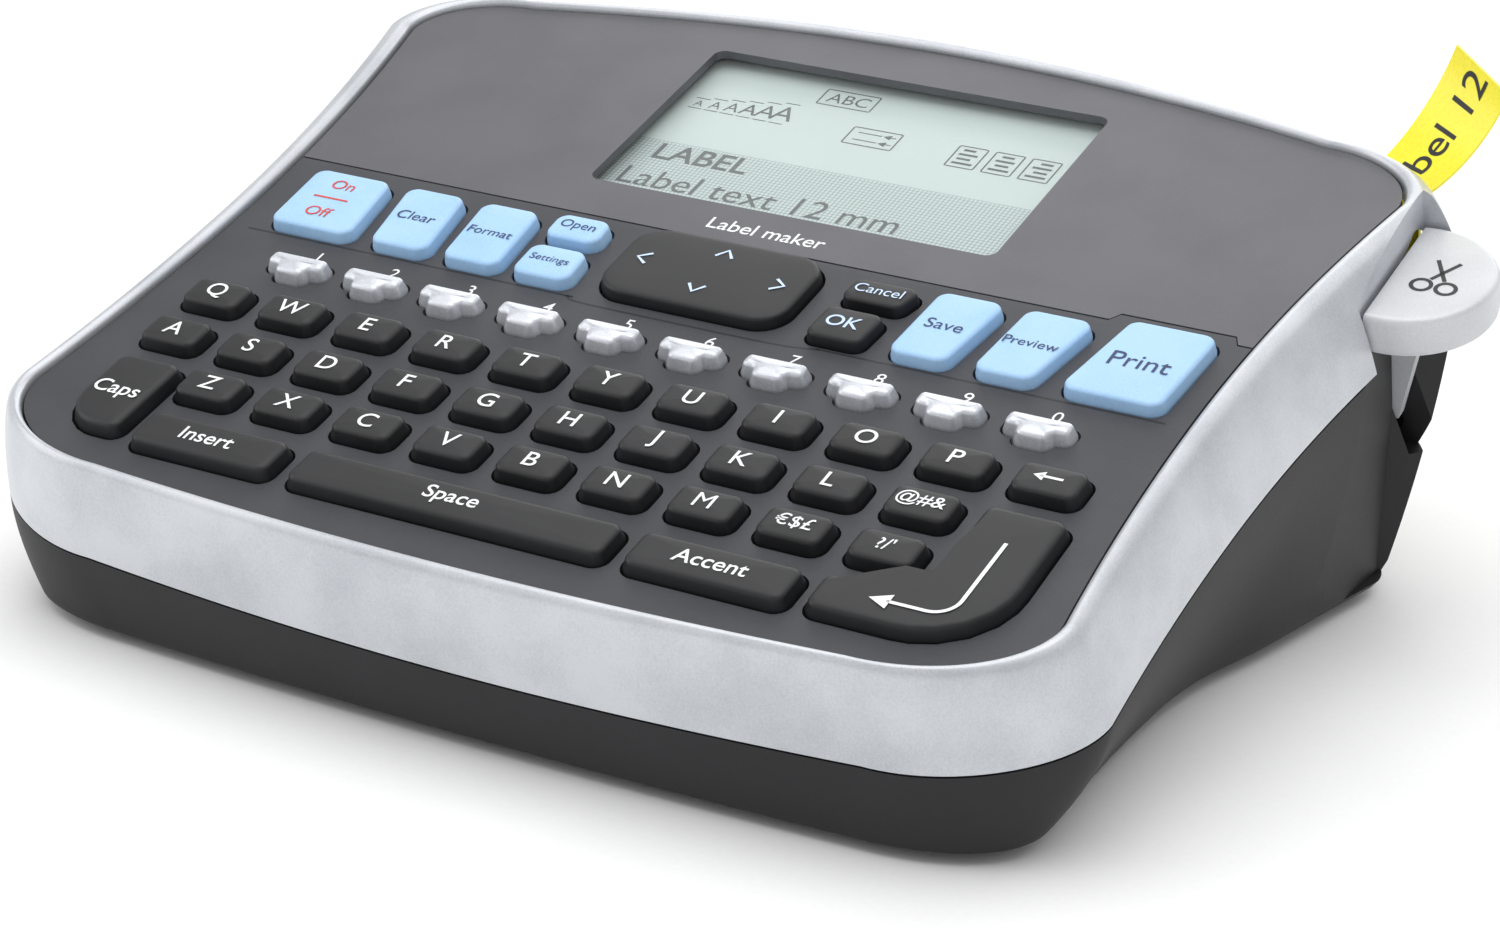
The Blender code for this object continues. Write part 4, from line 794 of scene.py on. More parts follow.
def build_bezel():
    """Silver frame: the fine skin, less the paddle's notch, arm slot and label notch."""
    made = outward(mesh_object("bezel_shell", *shell_arrays(bezel_rings(), True), surface("bezel")))
    carve(made, [deck_prism(paddle_outline(CUTTER_GAP), -30, 9)])
    carve(made, [deck_prism(arm_slot(), ARM_LOW, PADDLE_TOP - 1)])
    carve(made, [body_prism(label_notch(), SLOT_LOW, SLOT_HIGH)])
    return finished(crisp(made, 36), "housing", "bezel")


DOOR_Z = (7.0, 38.0)
DOOR_SWING_ROOM = 0.6
DOORS = {"cassette": (12.0, 44.0), "battery": (-50.0, -14.0)}
SCREW_PLACES = np.array([(-56, 28), (56, 28), (-66, DECK_REAR - 29.4), (44, DECK_REAR - 39.4)])
FOOT_PLACES = np.array([(-52, 14), (52, 14), (-58, DECK_REAR - 15.4), (58, DECK_REAR - 15.4)])
JACK_X, JACK_Z, JACK_BORE = -1.0, 12.0, 4.4
SCREW_HOLE, FOOT_HOLE = (3.1, 3.6), (5.3, 2.1)
RECESS_FLOOR, BACKING_FLOOR, OVER_TOP = 2.8, 3.8, 90
BACKING_SHARES, BACKING_INSET = (0.93, 0.75, 0.5, 0.25, 0.03), 1.0


def disc(centre, radius, steps=40):
    turn = np.linspace(0, 2 * np.pi, steps, endpoint=False)
    return np.asarray(centre) + radius * np.column_stack([np.cos(turn), np.sin(turn)])


def door_box(x_range, low, high, room):
    """Block through the rear wall at a door."""
    middle = (sum(x_range) / 2, DECK_REAR + 7)
    size = (x_range[1] - x_range[0] + 2 * room, 46)
    return body_prism(box_corners(middle, size), low - room, high + room)


def build_housing():
    """Black lower shell with the recess beside the cutter, doorways and fixings' holes."""
    made = outward(mesh_object("housing_shell", *housing_arrays(), surface("housing")))
    plan = body_prism(recess_plan(HOUSING_WALL), BACKING_FLOOR, OVER_TOP)
    backing = outward(mesh_object("backing", *plan, None))
    carve(backing, [shell_arrays([housing_ring(share, BACKING_INSET)
                                  for share in BACKING_SHARES])], "INTERSECT")
    points = np.empty(len(backing.data.vertices) * 3)
    backing.data.vertices.foreach_get("co", points)
    faces = [list(face.vertices) for face in backing.data.polygons]
    bpy.data.objects.remove(backing)
    carve(made, [(points.reshape(-1, 3), faces)], "UNION")
    carve(made, [body_prism(recess_plan(), RECESS_FLOOR, OVER_TOP)])
    carve(made, [deck_prism(arm_slot(), ARM_LOW, THROUGH_DECK[1])])
    carve(made, [body_prism(label_notch(), SLOT_LOW, SLOT_HIGH)])
    carve(made, [door_box(span, *DOOR_Z, GAP * 1.4) for span in DOORS.values()])
    carve(made, [body_prism(disc(place, radius), -5, top)
                 for places, (radius, top) in ((SCREW_PLACES, SCREW_HOLE),
                                               (FOOT_PLACES, FOOT_HOLE)) for place in places])
    turn = disc((JACK_X, JACK_Z), JACK_BORE)
    rings = [in_body(np.column_stack([turn[:, 0], np.full(len(turn), y), turn[:, 1]]))
             for y in (DECK_LENGTH - 40, DECK_LENGTH + 40)]
    carve(made, [shell_arrays(rings)])
    return finished(crisp(made, 36), "housing", "lower_housing")


def build_doors():
    """Cassette and battery doors cut from the housing's own wall."""
    made = []
    for kind, span in DOORS.items():
        door = outward(mesh_object(kind + "_door_skin", *housing_arrays(), surface("housing")))
        block = door_box(span, DOOR_Z[0], DOOR_Z[1] - DOOR_SWING_ROOM, 0)
        carve(door, [block], "INTERSECT")
        made.append(finished(crisp(door, 36), kind + "_cover", kind + "_door"))
    return made


def seam_region(shift):
    """Everything behind the seam, moved back by shift, with the seam's bump over Print."""
    far, side, bump = 250.0, 140.0, SEAM_AT + 1.6
    points = np.array([
        (-side, SEAM_AT), (51.0, SEAM_AT), (52.0, bump), (67.2, bump), (68.0, SEAM_AT),
        (side, SEAM_AT), (side, far), (-side, far),
    ])
    points[:6, 1] += shift
    return points


def groove_line():
    """Path of the fine groove in front of the function keys, dipping under the navigation keys; a
    dark strip of painted shade is laid along it.
    """
    points = [(-66.5, GROOVE_AT), (-20, GROOVE_AT), (-16.5, GROOVE_AT - 0.1),
              (-14, GROOVE_AT - 0.8), (0, GROOVE_AT - 0.9), (14, GROOVE_AT - 0.8),
              (20, GROOVE_AT - 0.1), (24, GROOVE_AT), (66.5, GROOVE_AT)]
    return smooth_line(points, 6)


def build_panels():
    """Keyboard panel with its key holes, a dark strip of painted shade along its groove, and
    display panel with its window.
    """
    outline = deck_outline()
    board = outward(mesh_object("keyboard_face", *deck_prism(outline, -PANEL_THICK, 0),
                                surface("keyboard")))
    carve(board, [deck_prism(seam_region(-GAP / 2), *THROUGH_DECK)])
    carve(board, [deck_prism(hole, *THROUGH_DECK) for hole in all_holes()])
    finished(crisp(board, 30), "housing", "keyboard_panel")
    # Painted shade: the groove is not cut; a thin dark strip printed on the panel stands for the
    # shade in it.
    dark = surface("groove")
    printed("keyboard_groove_painted_shade", [stroke(groove_line(), 0.3)], 0.02, dark, "housing")
    upper = outward(mesh_object("display_face", *deck_prism(outline, -PANEL_THICK, 0),
                                surface("display")))
    carve(upper, [deck_prism(seam_region(GAP / 2), *THROUGH_DECK)], "INTERSECT")
    opening = rounded(box_corners(WINDOW_CENTRE, WINDOW_SIZE), 1.5, 10)
    carve(upper, [deck_prism(opening, *THROUGH_DECK)])
    return finished(crisp(upper, 30), "housing", "display_panel")


# --- display --------------------------------------------------------------------------------

def outline_box(x, s, width, height, line):
    return stroke(rounded(box_corners((x, s), (width, height)), 0.2, 2), line, closed=True)


MENU_SHIFT = np.array([-0.6, 1.5])


def display_shapes():
    """Generic menu of the display: sizes, box, length, alignment and two lines of text."""
    corner = np.array(WINDOW_CENTRE) - np.array(WINDOW_SIZE) / 2
    shapes = []
    for index, height in enumerate((1.9, 2.4, 2.9, 3.4, 4.0, 4.6)):
        u, v = 2.4 + index * 2.5 + height * 0.12, 23.6 + height * 0.45
        shapes.append(shifted(letter_arrays("A", height * 0.8, 0.02 if index == 3 else 0), u, v))
        shapes += [stroke([(u - 1.1, v + edge * (height * 0.5 + 0.35)),
                           (u + 1.1, v + edge * (height * 0.5 + 0.35))], 0.2)
                   for edge in (-1, 1)]
    shapes += [outline_box(22.4, 31.6, 8.2, 3.9, 0.24), outline_box(30.2, 23.6, 7.4, 4.2, 0.24)]
    shapes.append(shifted(letter_arrays("ABC", 2.4), 22.4, 31.6))
    shapes += [stroke([(27.6, 23.6 + step), (31.2, 23.6 + step)], 0.22) for step in (-0.9, 0.9)]
    shapes += [polygon([(31.4, 23.6 + step), (32.6, 23.0 + step), (32.6, 24.2 + step)])
               for step in (-0.9, 0.9)]
    shapes += [stroke([(32.4, 23.6 + step), (33.4, 23.6 + step)], 0.22) for step in (-0.9, 0.9)]
    for u, shift in ((44.6, -0.5), (50.0, 0.0), (55.4, 0.5)):
        shapes.append(outline_box(u, 23.2, 4.2, 5.2, 0.24))
        for row, reach in enumerate((1.5, 1.0, 1.4, 0.9)):
            v = 21.6 + row * 1.1
            middle = u + shift * (1.5 - reach)
            shapes.append(stroke([(middle - reach, v), (middle + reach, v)], 0.5))
    shapes.append(shifted(letter_arrays("LABEL", 3.9, 0.08), 10.6, 11.6))
    shapes.append(shifted(letter_arrays("Label text 12 mm", 4.3), 22.8, 4.9))
    return [shifted(shape, *(corner + MENU_SHIFT)) for shape in shapes]


def build_display():
    """Window, liquid crystal glass with its pixel grid, and the menu it shows."""
    lens = rounded(box_corners(WINDOW_CENTRE, np.array(WINDOW_SIZE) + 2 * LENS_LIP), 2.0, 8)
    glass = outward(mesh_object("clear_window", *deck_prism(lens, *WINDOW_HEIGHTS),
                                surface("window")))
    finished(crisp(glass), "housing", "display_window")
    corners = box_corners(WINDOW_CENTRE, np.array(WINDOW_SIZE) + 2 * LCD_LIP)
    panel = outward(mesh_object("lcd_glass", *deck_prism(corners, LCD_TOP - LCD_THICK, LCD_TOP),
                                lcd_material(), smooth=False))
    origin = np.array(WINDOW_CENTRE) - np.array(WINDOW_SIZE) / 2
    spots = np.empty(len(panel.data.loops), int)
    panel.data.loops.foreach_get("vertex_index", spots)
    flat = np.vstack([corners, corners]) - origin
    panel.data.uv_layers.new(name="millimetres").data.foreach_set("uv", flat[spots].ravel())
    finished(panel, "housing", "lcd_panel")
    dark = surface("segments")
    return printed("lcd_symbols", display_shapes(), LCD_TOP + 0.02, dark, "housing")


# --- keys and legends -----------------------------------------------------------------------

def web_arrays(corner_sets):
    """Thin web under the deck that joins one half row of keys."""
    everything = np.vstack(corner_sets)
    low, high = everything.min(axis=0), everything.max(axis=0)
    outline = rounded(box_corners((low + high) / 2, high - low + 2 * KEY_FLANGE), 1.0, 4)
    return deck_prism(outline, FLANGE_LOW, FLANGE_TOP)


def flange_arrays(corners, radius, reach):
    return deck_prism(outgrown(corners, radius, reach, 4), FLANGE_LOW, FLANGE_TOP)


def build_rows(sizes):
    """Letter and number keys, in half rows, each with its web."""
    made = []
    fillet = sizes.key_fillet / MM
    for name, (first, s, left, right) in dict(ROWS, number_keys=NUMBER_ROW).items():
        shape, radius, kind = letter_corners, KEY_ROUND, "black_key"
        if name == "number_keys":
            shape, radius, kind = number_corners, NUMBER_RADII, "silver_key"
        for side, start, count in (("left", 0, len(left)), ("right", len(left), len(right))):
            sets = [shape(first + (start + k) * KEY_PITCH, s) for k in range(count)]
            caps = [key_cap(corners, radius, KEY_RISE, KEY_DRAFT, fillet) for corners in sets]
            whole = joined(caps + [web_arrays(sets)])
            row = outward(mesh_object(f"{name}_{side}_caps", *whole, surface(kind)))
            made.append(finished(crisp(row, 40), f"{name}_{side}", f"{name}_{side}"))
    return made


def build_single(name, corners, radius, shape, fillet, kind):
    """One key on its flange; the shape is its rise, its draft and its flange's reach."""
    rise, draft, reach = shape
    parts = [key_cap(corners, radius, rise, draft, fillet), flange_arrays(corners, radius, reach)]
    made = outward(mesh_object(name + "_cap", *joined(parts), surface(kind)))
    return finished(crisp(made, 40), name, name)


def build_large_keys(sizes):
    """Black keys of the bottom row, Enter and backspace."""
    fillet = sizes.key_fillet / MM
    return [build_single(name, corners, radius, (KEY_RISE, KEY_DRAFT, KEY_FLANGE), fillet,
                         "black_key")
            for name, (corners, radius) in WIDE_KEYS.items()]


def build_function_keys(sizes):
    """Light blue function keys, navigation pad, OK and Cancel."""
    fillet = sizes.key_fillet / MM * 0.8
    shape = (FUNCTION_RISE, FUNCTION_DRAFT, FUNCTION_FLANGE)
    plan = [(name, corners, SOFT_ROUND, "blue_key") for name, corners in BLUE_KEYS.items()]
    plan.append(("nav_pad", NAV_CORNERS, NAV_ROUND, "black_key"))
    plan += [(name, corners, OK_ROUND, "black_key") for name, corners in OK_KEYS.items()]
    return [build_single(name, corners, radius, shape, fillet, kind)
            for name, corners, radius, kind in plan]


TOP_LIFT = 0.03


def key_print(name, words, body, height, finish):
    """Words on the top of a key; each is (text, x, s, cap height, boldness)."""
    shapes = [shifted(letter_arrays(text, size, bold), x, s) for text, x, s, size, bold in words]
    return printed(name, shapes, height + TOP_LIFT, finish, body)


def arrow_left(x, s):
    shaft = stroke([(x - 1.2, s), (x + 1.8, s)], 0.42)
    head = polygon([(x - 2.0, s), (x - 0.6, s - 0.85), (x - 0.6, s + 0.85)])
    return [shaft, head]


def return_arrow():
    """Down the right leg of Enter, round its corner and left to the tip."""
    turn = np.radians(np.linspace(0, -90, 12))
    bend = np.column_stack([57.4 + 3.0 * np.cos(turn), 13.2 + 3.0 * np.sin(turn)])
    path = np.vstack([[(60.4, 24.4), (60.4, 18.0)], bend, [(52.5, 10.2)]])
    return [stroke(path, 0.5), polygon([(50.3, 10.2), (52.9, 8.9), (52.9, 11.5)])]


def build_legends(sizes):
    """Printed legends of every key and the digits on the panel behind the number keys."""
    height = sizes.legend_height / MM
    white = surface("white_ink")
    for name, (first, s, left, right) in ROWS.items():
        for side, start, row in (("left", 0, left), ("right", len(left), right)):
            words = [(text, first + (start + k) * KEY_PITCH, s,
                      height if len(text) == 1 else height * 0.76, 0 if text == "M" else 0.02)
                     for k, text in enumerate(row)]
            key_print(f"{name}_{side}_legends", words, f"{name}_{side}", KEY_RISE, white)
    digits = [shifted(letter_arrays(text, height * 0.76, 0.006),
                      NUMBER_ROW[0] + k * KEY_PITCH + 0.6, NUMBER_ROW[1] + 3.9)
              for k, text in enumerate("1234567890")]
    printed("number_legends", digits, TOP_LIFT, white, "housing")
    wide = {"caps_key": ("Caps", -58.0, 14.2, 2.5), "insert_key": ("Insert", -40.4, 9.5, 2.4),
            "space_key": ("Space", -4.9, 9.5, 2.4), "accent_key": ("Accent", 30.5, 9.5, 2.4)}
    for name, (text, x, s, size) in wide.items():
        key_print(name + "_legend", [(text, x, s, size, 0.03)], name, KEY_RISE, white)
    back_x = FIRST_KEY_X + 10 * KEY_PITCH
    printed("backspace_legend", arrow_left(back_x, 37.5), KEY_RISE + TOP_LIFT, white,
            "backspace_key")
    printed("enter_legend", return_arrow(), KEY_RISE + TOP_LIFT, white, "enter_key")
    navy = surface("navy_ink")
    blue = {"clear_key": ("Clear", -44.0, 61.8, 1.9), "format_key": ("Format", -32.4, 61.8, 1.65),
            "settings_key": ("Settings", -21.4, 58.6, 1.35), "open_key": ("Open", -22.0, 66.8, 1.7),
            "save_key": ("Save", 33.8, 62.0, 2.1), "preview_key": ("Preview", 45.5, 62.0, 1.65),
            "print_key": ("Print", 59.7, 62.6, 3.0)}
    for name, (text, x, s, size) in blue.items():
        key_print(name + "_legend", [(text, x, s, size, 0.0)], name, FUNCTION_RISE, navy)
    red = surface("red_ink")
    shapes = [shifted(letter_arrays("On", 2.1), -57.9, 65.2),
              stroke([(-60.6, 61.9), (-55.2, 61.9)], 0.35),
              shifted(letter_arrays("Off", 2.1), -57.6, 58.6)]
    printed("on_off_legend", shapes, FUNCTION_RISE + TOP_LIFT, red, "on_off_key")
    pale = surface("pale_ink")
    chevrons = [stroke([(x - dx * 0.8 - dy * 1.2, s - dy * 0.8 + dx * 1.2),
                        (x + dx * 0.8, s + dy * 0.8),
                        (x - dx * 0.8 + dy * 1.2, s - dy * 0.8 - dx * 1.2)], 0.42)
                for x, s, dx, dy in ((-9.9, 63.1, -1, 0), (9.9, 63.1, 1, 0), (0, 67.3, 0, 1),
                                     (0, 59.0, 0, -1))]
    printed("navigation_legend", chevrons, FUNCTION_RISE + TOP_LIFT, pale, "nav_pad")
    key_print("ok_legend", [("OK", 21.6, 58.5, 2.3, 0.03)], "ok_key", FUNCTION_RISE, pale)
    key_print("cancel_legend", [("Cancel", 22.6, 66.2, 1.8, 0.0)], "cancel_key", FUNCTION_RISE,
              pale)
    title = [shifted(letter_arrays("Label maker", 2.5, 0.02), 1.0, 75.8)]
    return printed("nameplate", title, TOP_LIFT, white, "housing")


# --- cutter ---------------------------------------------------------------------------------

def build_cutter():
    """Cutter lever: half-round paddle with a soft edge, its arm, gusset and inner bar."""
    plan, middle = paddle_outline(), np.array(PADDLE_CENTRE)
    bottom = PADDLE_TOP - PADDLE_THICK
    turn = np.linspace(0, np.pi / 2, 8)
    edge = np.column_stack([1 - 0.9 * (1 - np.cos(turn)) / PADDLE_RADIUS,
                            PADDLE_TOP - 0.9 * (1 - np.sin(turn))])
    profile = np.vstack([[(0.97, bottom), (0.99, bottom + 0.3), (1.0, bottom + 0.9)], edge,
                         [(0.6, PADDLE_TOP), (0.2, PADDLE_TOP)]])
    rings = [on_deck(middle + (plan - middle) * share, h) for share, h in profile]
    lever = outward(mesh_object("cutter_paddle", *shell_arrays(rings), surface("cutter")))
    gusset = np.array([
        (ARM_INNER_X, bottom + 0.9), (ARM_INNER_X, bottom - ARM_DROP),
        (RECESS_X - 1.2, bottom - ARM_DROP), (RECESS_X - 0.6, bottom - GUSSET_DROP),
        (RECESS_X + 0.6, bottom - GUSSET_DROP), (RECESS_X + 6.0, bottom + 0.9),
    ])
    sides = [on_deck(np.column_stack([gusset[:, 0], np.full(6, s)]), gusset[:, 1])
             for s in (ARM_S - ARM_THICK / 2, ARM_S + ARM_THICK / 2)]
    carve(lever, [shell_arrays(sides)], "UNION")
    rear = ARM_S + ARM_THICK / 2 - 0.2
    bar = box_corners((ARM_INNER_X + (0.2 + BAR_WIDTH) / 2, rear - BAR_LENGTH / 2),
                      (BAR_WIDTH - 0.2, BAR_LENGTH))
    low = bottom - ARM_DROP
    carve(lever, [deck_prism(bar, low, low + BAR_THICK)], "UNION")
    finished(crisp(lever, 40), "cutter", "cutter_lever")
    return printed("scissors_symbol", scissors(83.2, 100.0), PADDLE_TOP + TOP_LIFT,
                   surface("black_ink"), "cutter")


def scissors(x, s):
    """Plain scissors: two straight blades crossing, each with a ring for a handle."""
    shapes = []
    for side in (-1, 1):
        blade = [(x - side * 1.5, s + 3.4), (x + side * 0.9, s - 1.0)]
        shapes.append(stroke(blade, 0.55))
        shapes.append(stroke(disc((x + side * 1.6, s - 2.5), 1.25, 20), 0.55, closed=True))
    return shapes


# --- label ----------------------------------------------------------------------------------

def tape_frame(steps=50):
    """Middle line of the label, its sideways and its facing direction.

    The free length leans sideways by lean * share and rises from the first angle to the second;
    its line is the running sum of the direction that is square to the sideways one.
    """
    share = np.linspace(0, 1, steps + 1)
    lean = TAPE_LEAN * share
    rise = TAPE_RISE[0] + (TAPE_RISE[1] - TAPE_RISE[0]) * share
    side = np.column_stack([np.cos(lean), np.zeros(len(lean)), -np.sin(lean)])
    ahead = np.column_stack([np.zeros(len(lean)), np.cos(rise), np.sin(rise)])
    ahead -= side * np.sum(ahead * side, axis=1)[:, None]
    ahead /= np.linalg.norm(ahead, axis=1)[:, None]
    run = np.cumsum((ahead[1:] + ahead[:-1]) / 2 * TAPE_FREE / steps, axis=0)
    inside = smooth_line([*TAPE_INSIDE, TAPE_EXIT], 6)
    line = np.vstack([inside, np.array(TAPE_EXIT) + run])
    along = np.gradient(line, axis=0)
    along /= np.linalg.norm(along, axis=1)[:, None]
    tilt = np.concatenate([np.zeros(len(inside)), lean[1:]])
    across = np.column_stack([np.cos(tilt), np.zeros(len(line)), -np.sin(tilt)])
    facing = np.cross(along, across)
    facing /= np.linalg.norm(facing, axis=1)[:, None]
    return line, across, facing


def in_unit(points):
    """Row-frame metres of points of the print unit, which is turned about Z."""
    points = np.asarray(points, float)
    flat = points[..., :2] @ UNIT_SPIN + TAPE_CENTRE
    return in_body(np.concatenate([flat, points[..., 2:]], axis=-1))


def on_tape(points, height):
    """Places flat print (length along the free part, offset across) on the label's face."""
    line, across, facing = tape_frame()
    run = np.concatenate([[0], np.cumsum(np.linalg.norm(np.diff(line, axis=0), axis=1))])
    at = points[:, 0] + run[-1] - TAPE_FREE
    spot, side, face = (np.stack([np.interp(at, run, row[:, k]) for k in range(3)], axis=1)
                        for row in (line, across, facing))
    return in_unit(spot - side * points[:, 1:2] - face * height)


def build_label():
    """Label strip out of the printer, with plain black words that read up along it."""
    line, across, facing = tape_frame()
    corners = np.array([(-1, -1), (1, -1), (1, 1), (-1, 1)])
    reach = corners[:, :1] * TAPE_WIDTH / 2
    depth = corners[:, 1:] * TAPE_THICK / 2
    rings = line[:, None] + across[:, None] * reach + facing[:, None] * depth
    strip = outward(mesh_object("printed_label", *shell_arrays(in_unit(rings)), surface("label")))
    finished(crisp(strip, 40), "housing", "label_tape")
    words = [shifted(letter_arrays("Label 12", 4.6, 0.03), 6.6, 0.2)]
    black = surface("black_ink")
    return printed("label_words", words, TAPE_THICK / 2 + 0.03, black, "housing", on_tape)


def dress_cad():
    """Gives each CAD node that is still shown the finish of its real material."""
    for name, item in frame["nodes"].items():
        if item.hide_render:
            continue
        kind = CAD_FINISHES.get(name, "foot" if name.startswith("foot_") else "steel")
        item.data.materials.clear()
        item.data.materials.append(surface(kind))


# --- stage ----------------------------------------------------------------------------------

CAMERA_TARGET = (27.45, 22.42, 35.0)
CAMERA_DISTANCE, CAMERA_AZIMUTH, CAMERA_RISE = 435.08, 29.009, 21.297
CAMERA_ROLL, CAMERA_LENS = 1.704, 90.09


def build_camera():
    """Long lens in front of the right corner, looking down on the deck."""
    azimuth, rise, roll = np.radians([CAMERA_AZIMUTH, CAMERA_RISE, CAMERA_ROLL])
    back = np.array([np.sin(azimuth) * np.cos(rise), -np.cos(azimuth) * np.cos(rise),
                     np.sin(rise)])
    right = np.array([np.cos(azimuth), np.sin(azimuth), 0])
    up = np.cross(back, right)
    x = right * np.cos(roll) + up * np.sin(roll)
    y = up * np.cos(roll) - right * np.sin(roll)
    place = in_body(CAMERA_TARGET) + back * CAMERA_DISTANCE * MM
    lens = bpy.data.cameras.new("main_camera")
    lens.lens = CAMERA_LENS
    lens.sensor_width = 36
    lens.clip_start = 0.01
    camera = bpy.data.objects.new("main_camera", lens)
    bpy.context.scene.collection.objects.link(camera)
    matrix = np.eye(4)
    matrix[:3, 0], matrix[:3, 1], matrix[:3, 2], matrix[:3, 3] = x, y, back, place
    camera.matrix_world = Matrix(matrix)
    bpy.context.scene.camera = camera


def soft_light(name, place, size, watts, aim=(0.0, 0.0, 0.02)):
    """Area light at a place in metres, turned to face the aim."""
    made = bpy.data.lights.new(name, "AREA")
    made.shape = "RECTANGLE"
    made.size, made.size_y = size
    made.energy = watts
    item = bpy.data.objects.new(name, made)
    bpy.context.scene.collection.objects.link(item)
    back = np.array(place) - np.array(aim)
    back /= np.linalg.norm(back)
    side = np.cross([0, 0, 1], back) if abs(back[2]) < 0.99 else np.array([1.0, 0, 0])
    side /= np.linalg.norm(side)
    matrix = np.eye(4)
    matrix[:3, 0], matrix[:3, 1] = side, np.cross(back, side)
    matrix[:3, 2], matrix[:3, 3] = back, place
    item.matrix_world = Matrix(matrix)


def build_stage(sizes):
    """Pale floor that curves up behind into a wall, soft lights and a bright surround."""
    half = sizes.floor_size / 2
    floor_z = min(corner[2] for corner in CAD_BOX)
    turn = np.radians(np.linspace(0, 90, 24))
    run = np.concatenate([[-half], half * 0.6 + 0.4 * half * np.sin(turn)])
    rise = np.concatenate([[0], 0.4 * half * (1 - np.cos(turn))]) + floor_z
    x = np.array([-half, half])
    grid = np.stack(np.broadcast_arrays(x[None, :], run[:, None], rise[:, None]), axis=-1)
    rows = np.arange(len(run) - 1) * 2
    faces = np.column_stack([rows, rows + 1, rows + 3, rows + 2]).tolist()
    white = surface("paper")
    floor = mesh_object("studio_floor", grid.reshape(-1, 3), faces, white)
    key = sizes.light_strength
    soft_light("ceiling_light", (0.05, -0.1, 1.0), (1.3, 1.1), key)
    soft_light("left_light", (-0.9, -0.45, 0.5), (0.8, 0.8), key * 0.35)
    soft_light("rear_light", (-0.1, 0.9, 0.6), (1.2, 0.6), key * 0.5)
    world = bpy.data.worlds.new("studio")
    world.use_nodes = True
    sky = world.node_tree.nodes["Background"]
    sky.inputs["Color"].default_value = (1, 1, 1, 1)
    sky.inputs["Strength"].default_value = 0.62
    bpy.context.scene.world = world
    bpy.context.scene.view_settings.view_transform = "Standard"
    build_camera()


# --- add-on ---------------------------------------------------------------------------------

def colour_property(label, kind):
    """Colour that a user may change, with the finish's own as its default."""
    return FloatVectorProperty(name=label, description=f"Base colour of the {label.lower()}",
                               default=linear(FINISHES[kind][1]), size=3, min=0.0, max=1.0,
                               subtype="COLOR")


class LabelMakerColours(PropertyGroup):
    """Colours that a user would change"""
    bezel: colour_property("Bezel paint", "bezel")
    housing: colour_property("Lower housing", "housing")
    keyboard: colour_property("Keyboard panel", "keyboard")
    display: colour_property("Display panel", "display")
    black_key: colour_property("Letter keys", "black_key")
    blue_key: colour_property("Function keys", "blue_key")
    silver_key: colour_property("Number keys", "silver_key")
    cutter: colour_property("Cutter lever", "cutter")
    label: colour_property("Label tape", "label")


class LabelMakerSizes(PropertyGroup):
    """Sizes that a user would change"""
    key_fillet: FloatProperty(
        name="Key fillet", description="Radius between a key's side and its top",
        default=0.75 * MM, min=0.2 * MM, max=0.9 * MM, unit="LENGTH")
    legend_height: FloatProperty(
        name="Legend height", description="Height of the capitals on the letter keys",
        default=2.7 * MM, min=MM, max=3.2 * MM, unit="LENGTH")
    floor_size: FloatProperty(
        name="Floor size", description="Width and depth of the studio floor",
        default=3.0, min=1.0, max=8.0, unit="LENGTH")
    light_strength: FloatProperty(
        name="Light strength", description="Power of the large light above the object",
        default=7.5, min=1.0, max=200.0, unit="POWER")


class LABELMAKER_OT_stage(Operator):
    """Floor, lights, surround and camera"""
    bl_idname = "label_maker.stage"
    bl_label = "Stage"

    def execute(self, context):
        build_stage(context.scene.label_maker_sizes)
        return {"FINISHED"}


class LABELMAKER_OT_bezel(Operator):
    """Silver bezel round the deck"""
    bl_idname = "label_maker.bezel"
    bl_label = "Bezel"

    def execute(self, context):
        build_bezel()
        return {"FINISHED"}


class LABELMAKER_OT_housing(Operator):
    """Lower housing with its two rear doors"""
    bl_idname = "label_maker.housing"
    bl_label = "Housing and doors"

    def execute(self, context):
        build_housing()
        build_doors()
        return {"FINISHED"}


class LABELMAKER_OT_panels(Operator):
    """Keyboard and display panels"""
    bl_idname = "label_maker.panels"
    bl_label = "Deck panels"

    def execute(self, context):
        build_panels()
        return {"FINISHED"}


class LABELMAKER_OT_display(Operator):
    """Window, liquid crystal glass and its symbols"""
    bl_idname = "label_maker.display"
    bl_label = "Display"

    def execute(self, context):
        build_display()
        return {"FINISHED"}


class LABELMAKER_OT_small_keys(Operator):
    """Letter and number keys"""
    bl_idname = "label_maker.small_keys"
    bl_label = "Letter and number keys"

    def execute(self, context):
        build_rows(context.scene.label_maker_sizes)
        return {"FINISHED"}


class LABELMAKER_OT_large_keys(Operator):
    """Bottom row, Enter and backspace"""
    bl_idname = "label_maker.large_keys"
    bl_label = "Large black keys"

    def execute(self, context):
        build_large_keys(context.scene.label_maker_sizes)
        return {"FINISHED"}


class LABELMAKER_OT_function_keys(Operator):
    """Blue function keys and navigation keys"""
    bl_idname = "label_maker.function_keys"
    bl_label = "Function keys"

    def execute(self, context):
        build_function_keys(context.scene.label_maker_sizes)
        return {"FINISHED"}


class LABELMAKER_OT_legends(Operator):
    """Printed legends of the keys and the panel"""
    bl_idname = "label_maker.legends"
    bl_label = "Legends"

    def execute(self, context):
        build_legends(context.scene.label_maker_sizes)
        return {"FINISHED"}


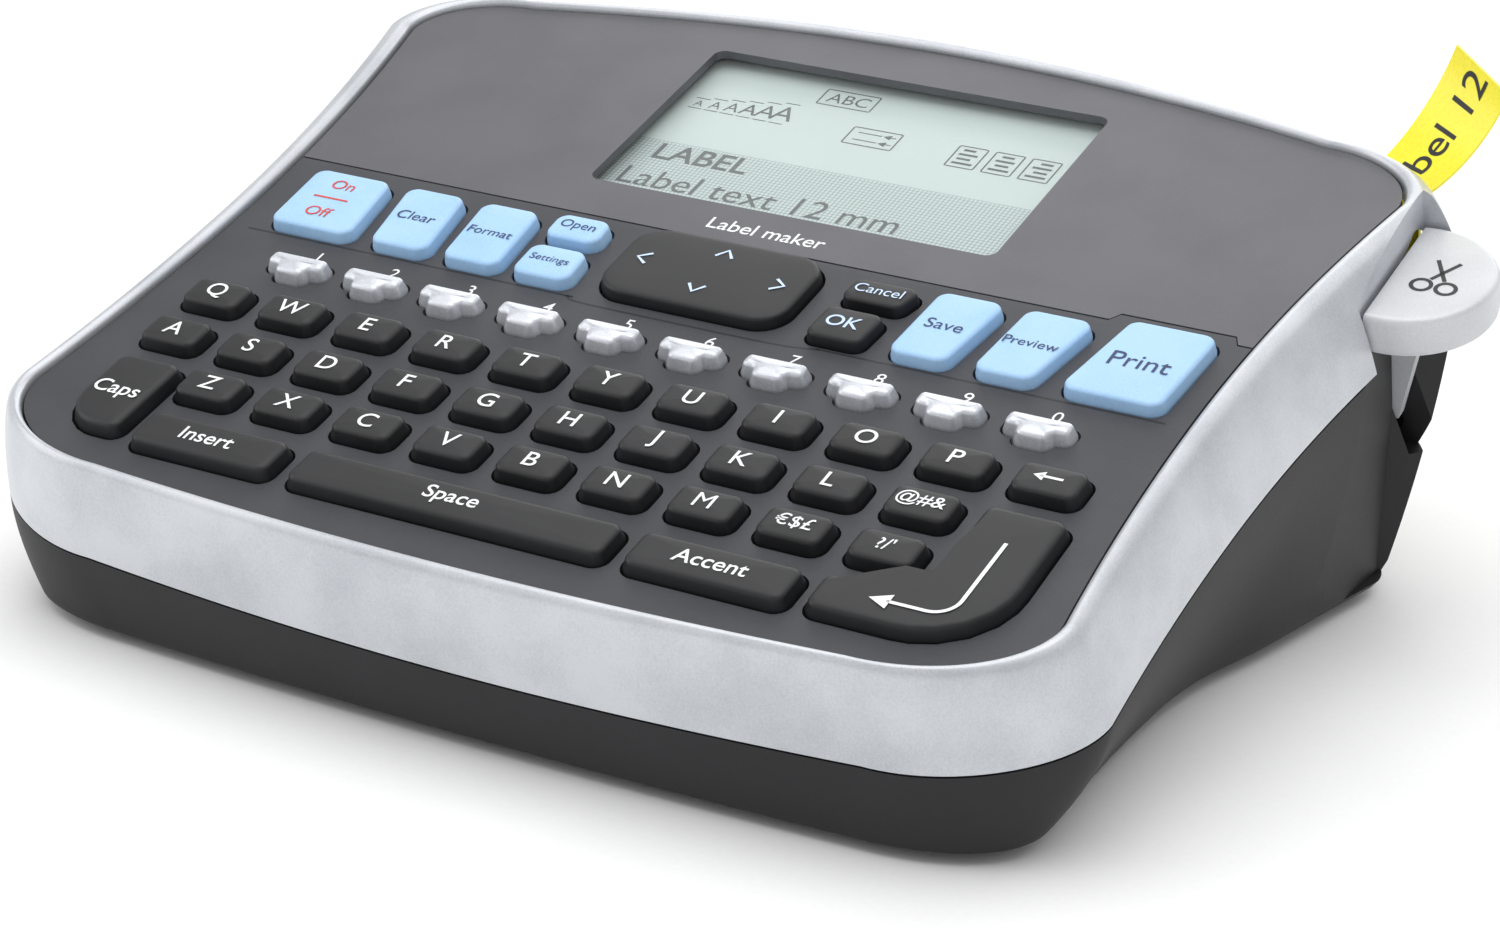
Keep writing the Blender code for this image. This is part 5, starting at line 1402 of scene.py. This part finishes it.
class LABELMAKER_OT_cutter(Operator):
    """Cutter lever with its symbol"""
    bl_idname = "label_maker.cutter"
    bl_label = "Cutter"

    def execute(self, context):
        build_cutter()
        return {"FINISHED"}


class LABELMAKER_OT_label(Operator):
    """Printed label coming out at the rear"""
    bl_idname = "label_maker.label"
    bl_label = "Label"

    def execute(self, context):
        build_label()
        return {"FINISHED"}


class LABELMAKER_OT_inner_parts(Operator):
    """Finishes of the drive, boards, cassette, battery, feet and screws"""
    bl_idname = "label_maker.inner_parts"
    bl_label = "Inner parts and fixings"

    def execute(self, context):
        dress_cad()
        return {"FINISHED"}


OPERATORS = (
    LABELMAKER_OT_bezel, LABELMAKER_OT_housing, LABELMAKER_OT_panels, LABELMAKER_OT_display,
    LABELMAKER_OT_small_keys, LABELMAKER_OT_large_keys, LABELMAKER_OT_function_keys,
    LABELMAKER_OT_legends, LABELMAKER_OT_cutter, LABELMAKER_OT_label,
    LABELMAKER_OT_inner_parts, LABELMAKER_OT_stage,
)


class LABELMAKER_PT_build(Panel):
    """Sizes and build steps of the label maker"""
    bl_label = "Label maker"
    bl_idname = "LABELMAKER_PT_build"
    bl_space_type = "VIEW_3D"
    bl_region_type = "UI"
    bl_category = "Label maker"

    def draw(self, context):
        for group in (context.scene.label_maker_sizes, context.scene.label_maker_colours):
            for name in group.__annotations__:
                self.layout.prop(group, name)
        for step in OPERATORS:
            self.layout.operator(step.bl_idname)


CLASSES = (LabelMakerSizes, LabelMakerColours, *OPERATORS, LABELMAKER_PT_build)


def register():
    for item in CLASSES:
        bpy.utils.register_class(item)
    bpy.types.Scene.label_maker_sizes = PointerProperty(type=LabelMakerSizes)
    bpy.types.Scene.label_maker_colours = PointerProperty(type=LabelMakerColours)


def unregister():
    del bpy.types.Scene.label_maker_colours
    del bpy.types.Scene.label_maker_sizes
    for item in reversed(CLASSES):
        bpy.utils.unregister_class(item)


def main():
    """Registers the add-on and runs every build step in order."""
    register()
    for step in OPERATORS:
        group, name = step.bl_idname.split(".")
        getattr(getattr(bpy.ops, group), name)()


if __name__ == "__main__":
    main()
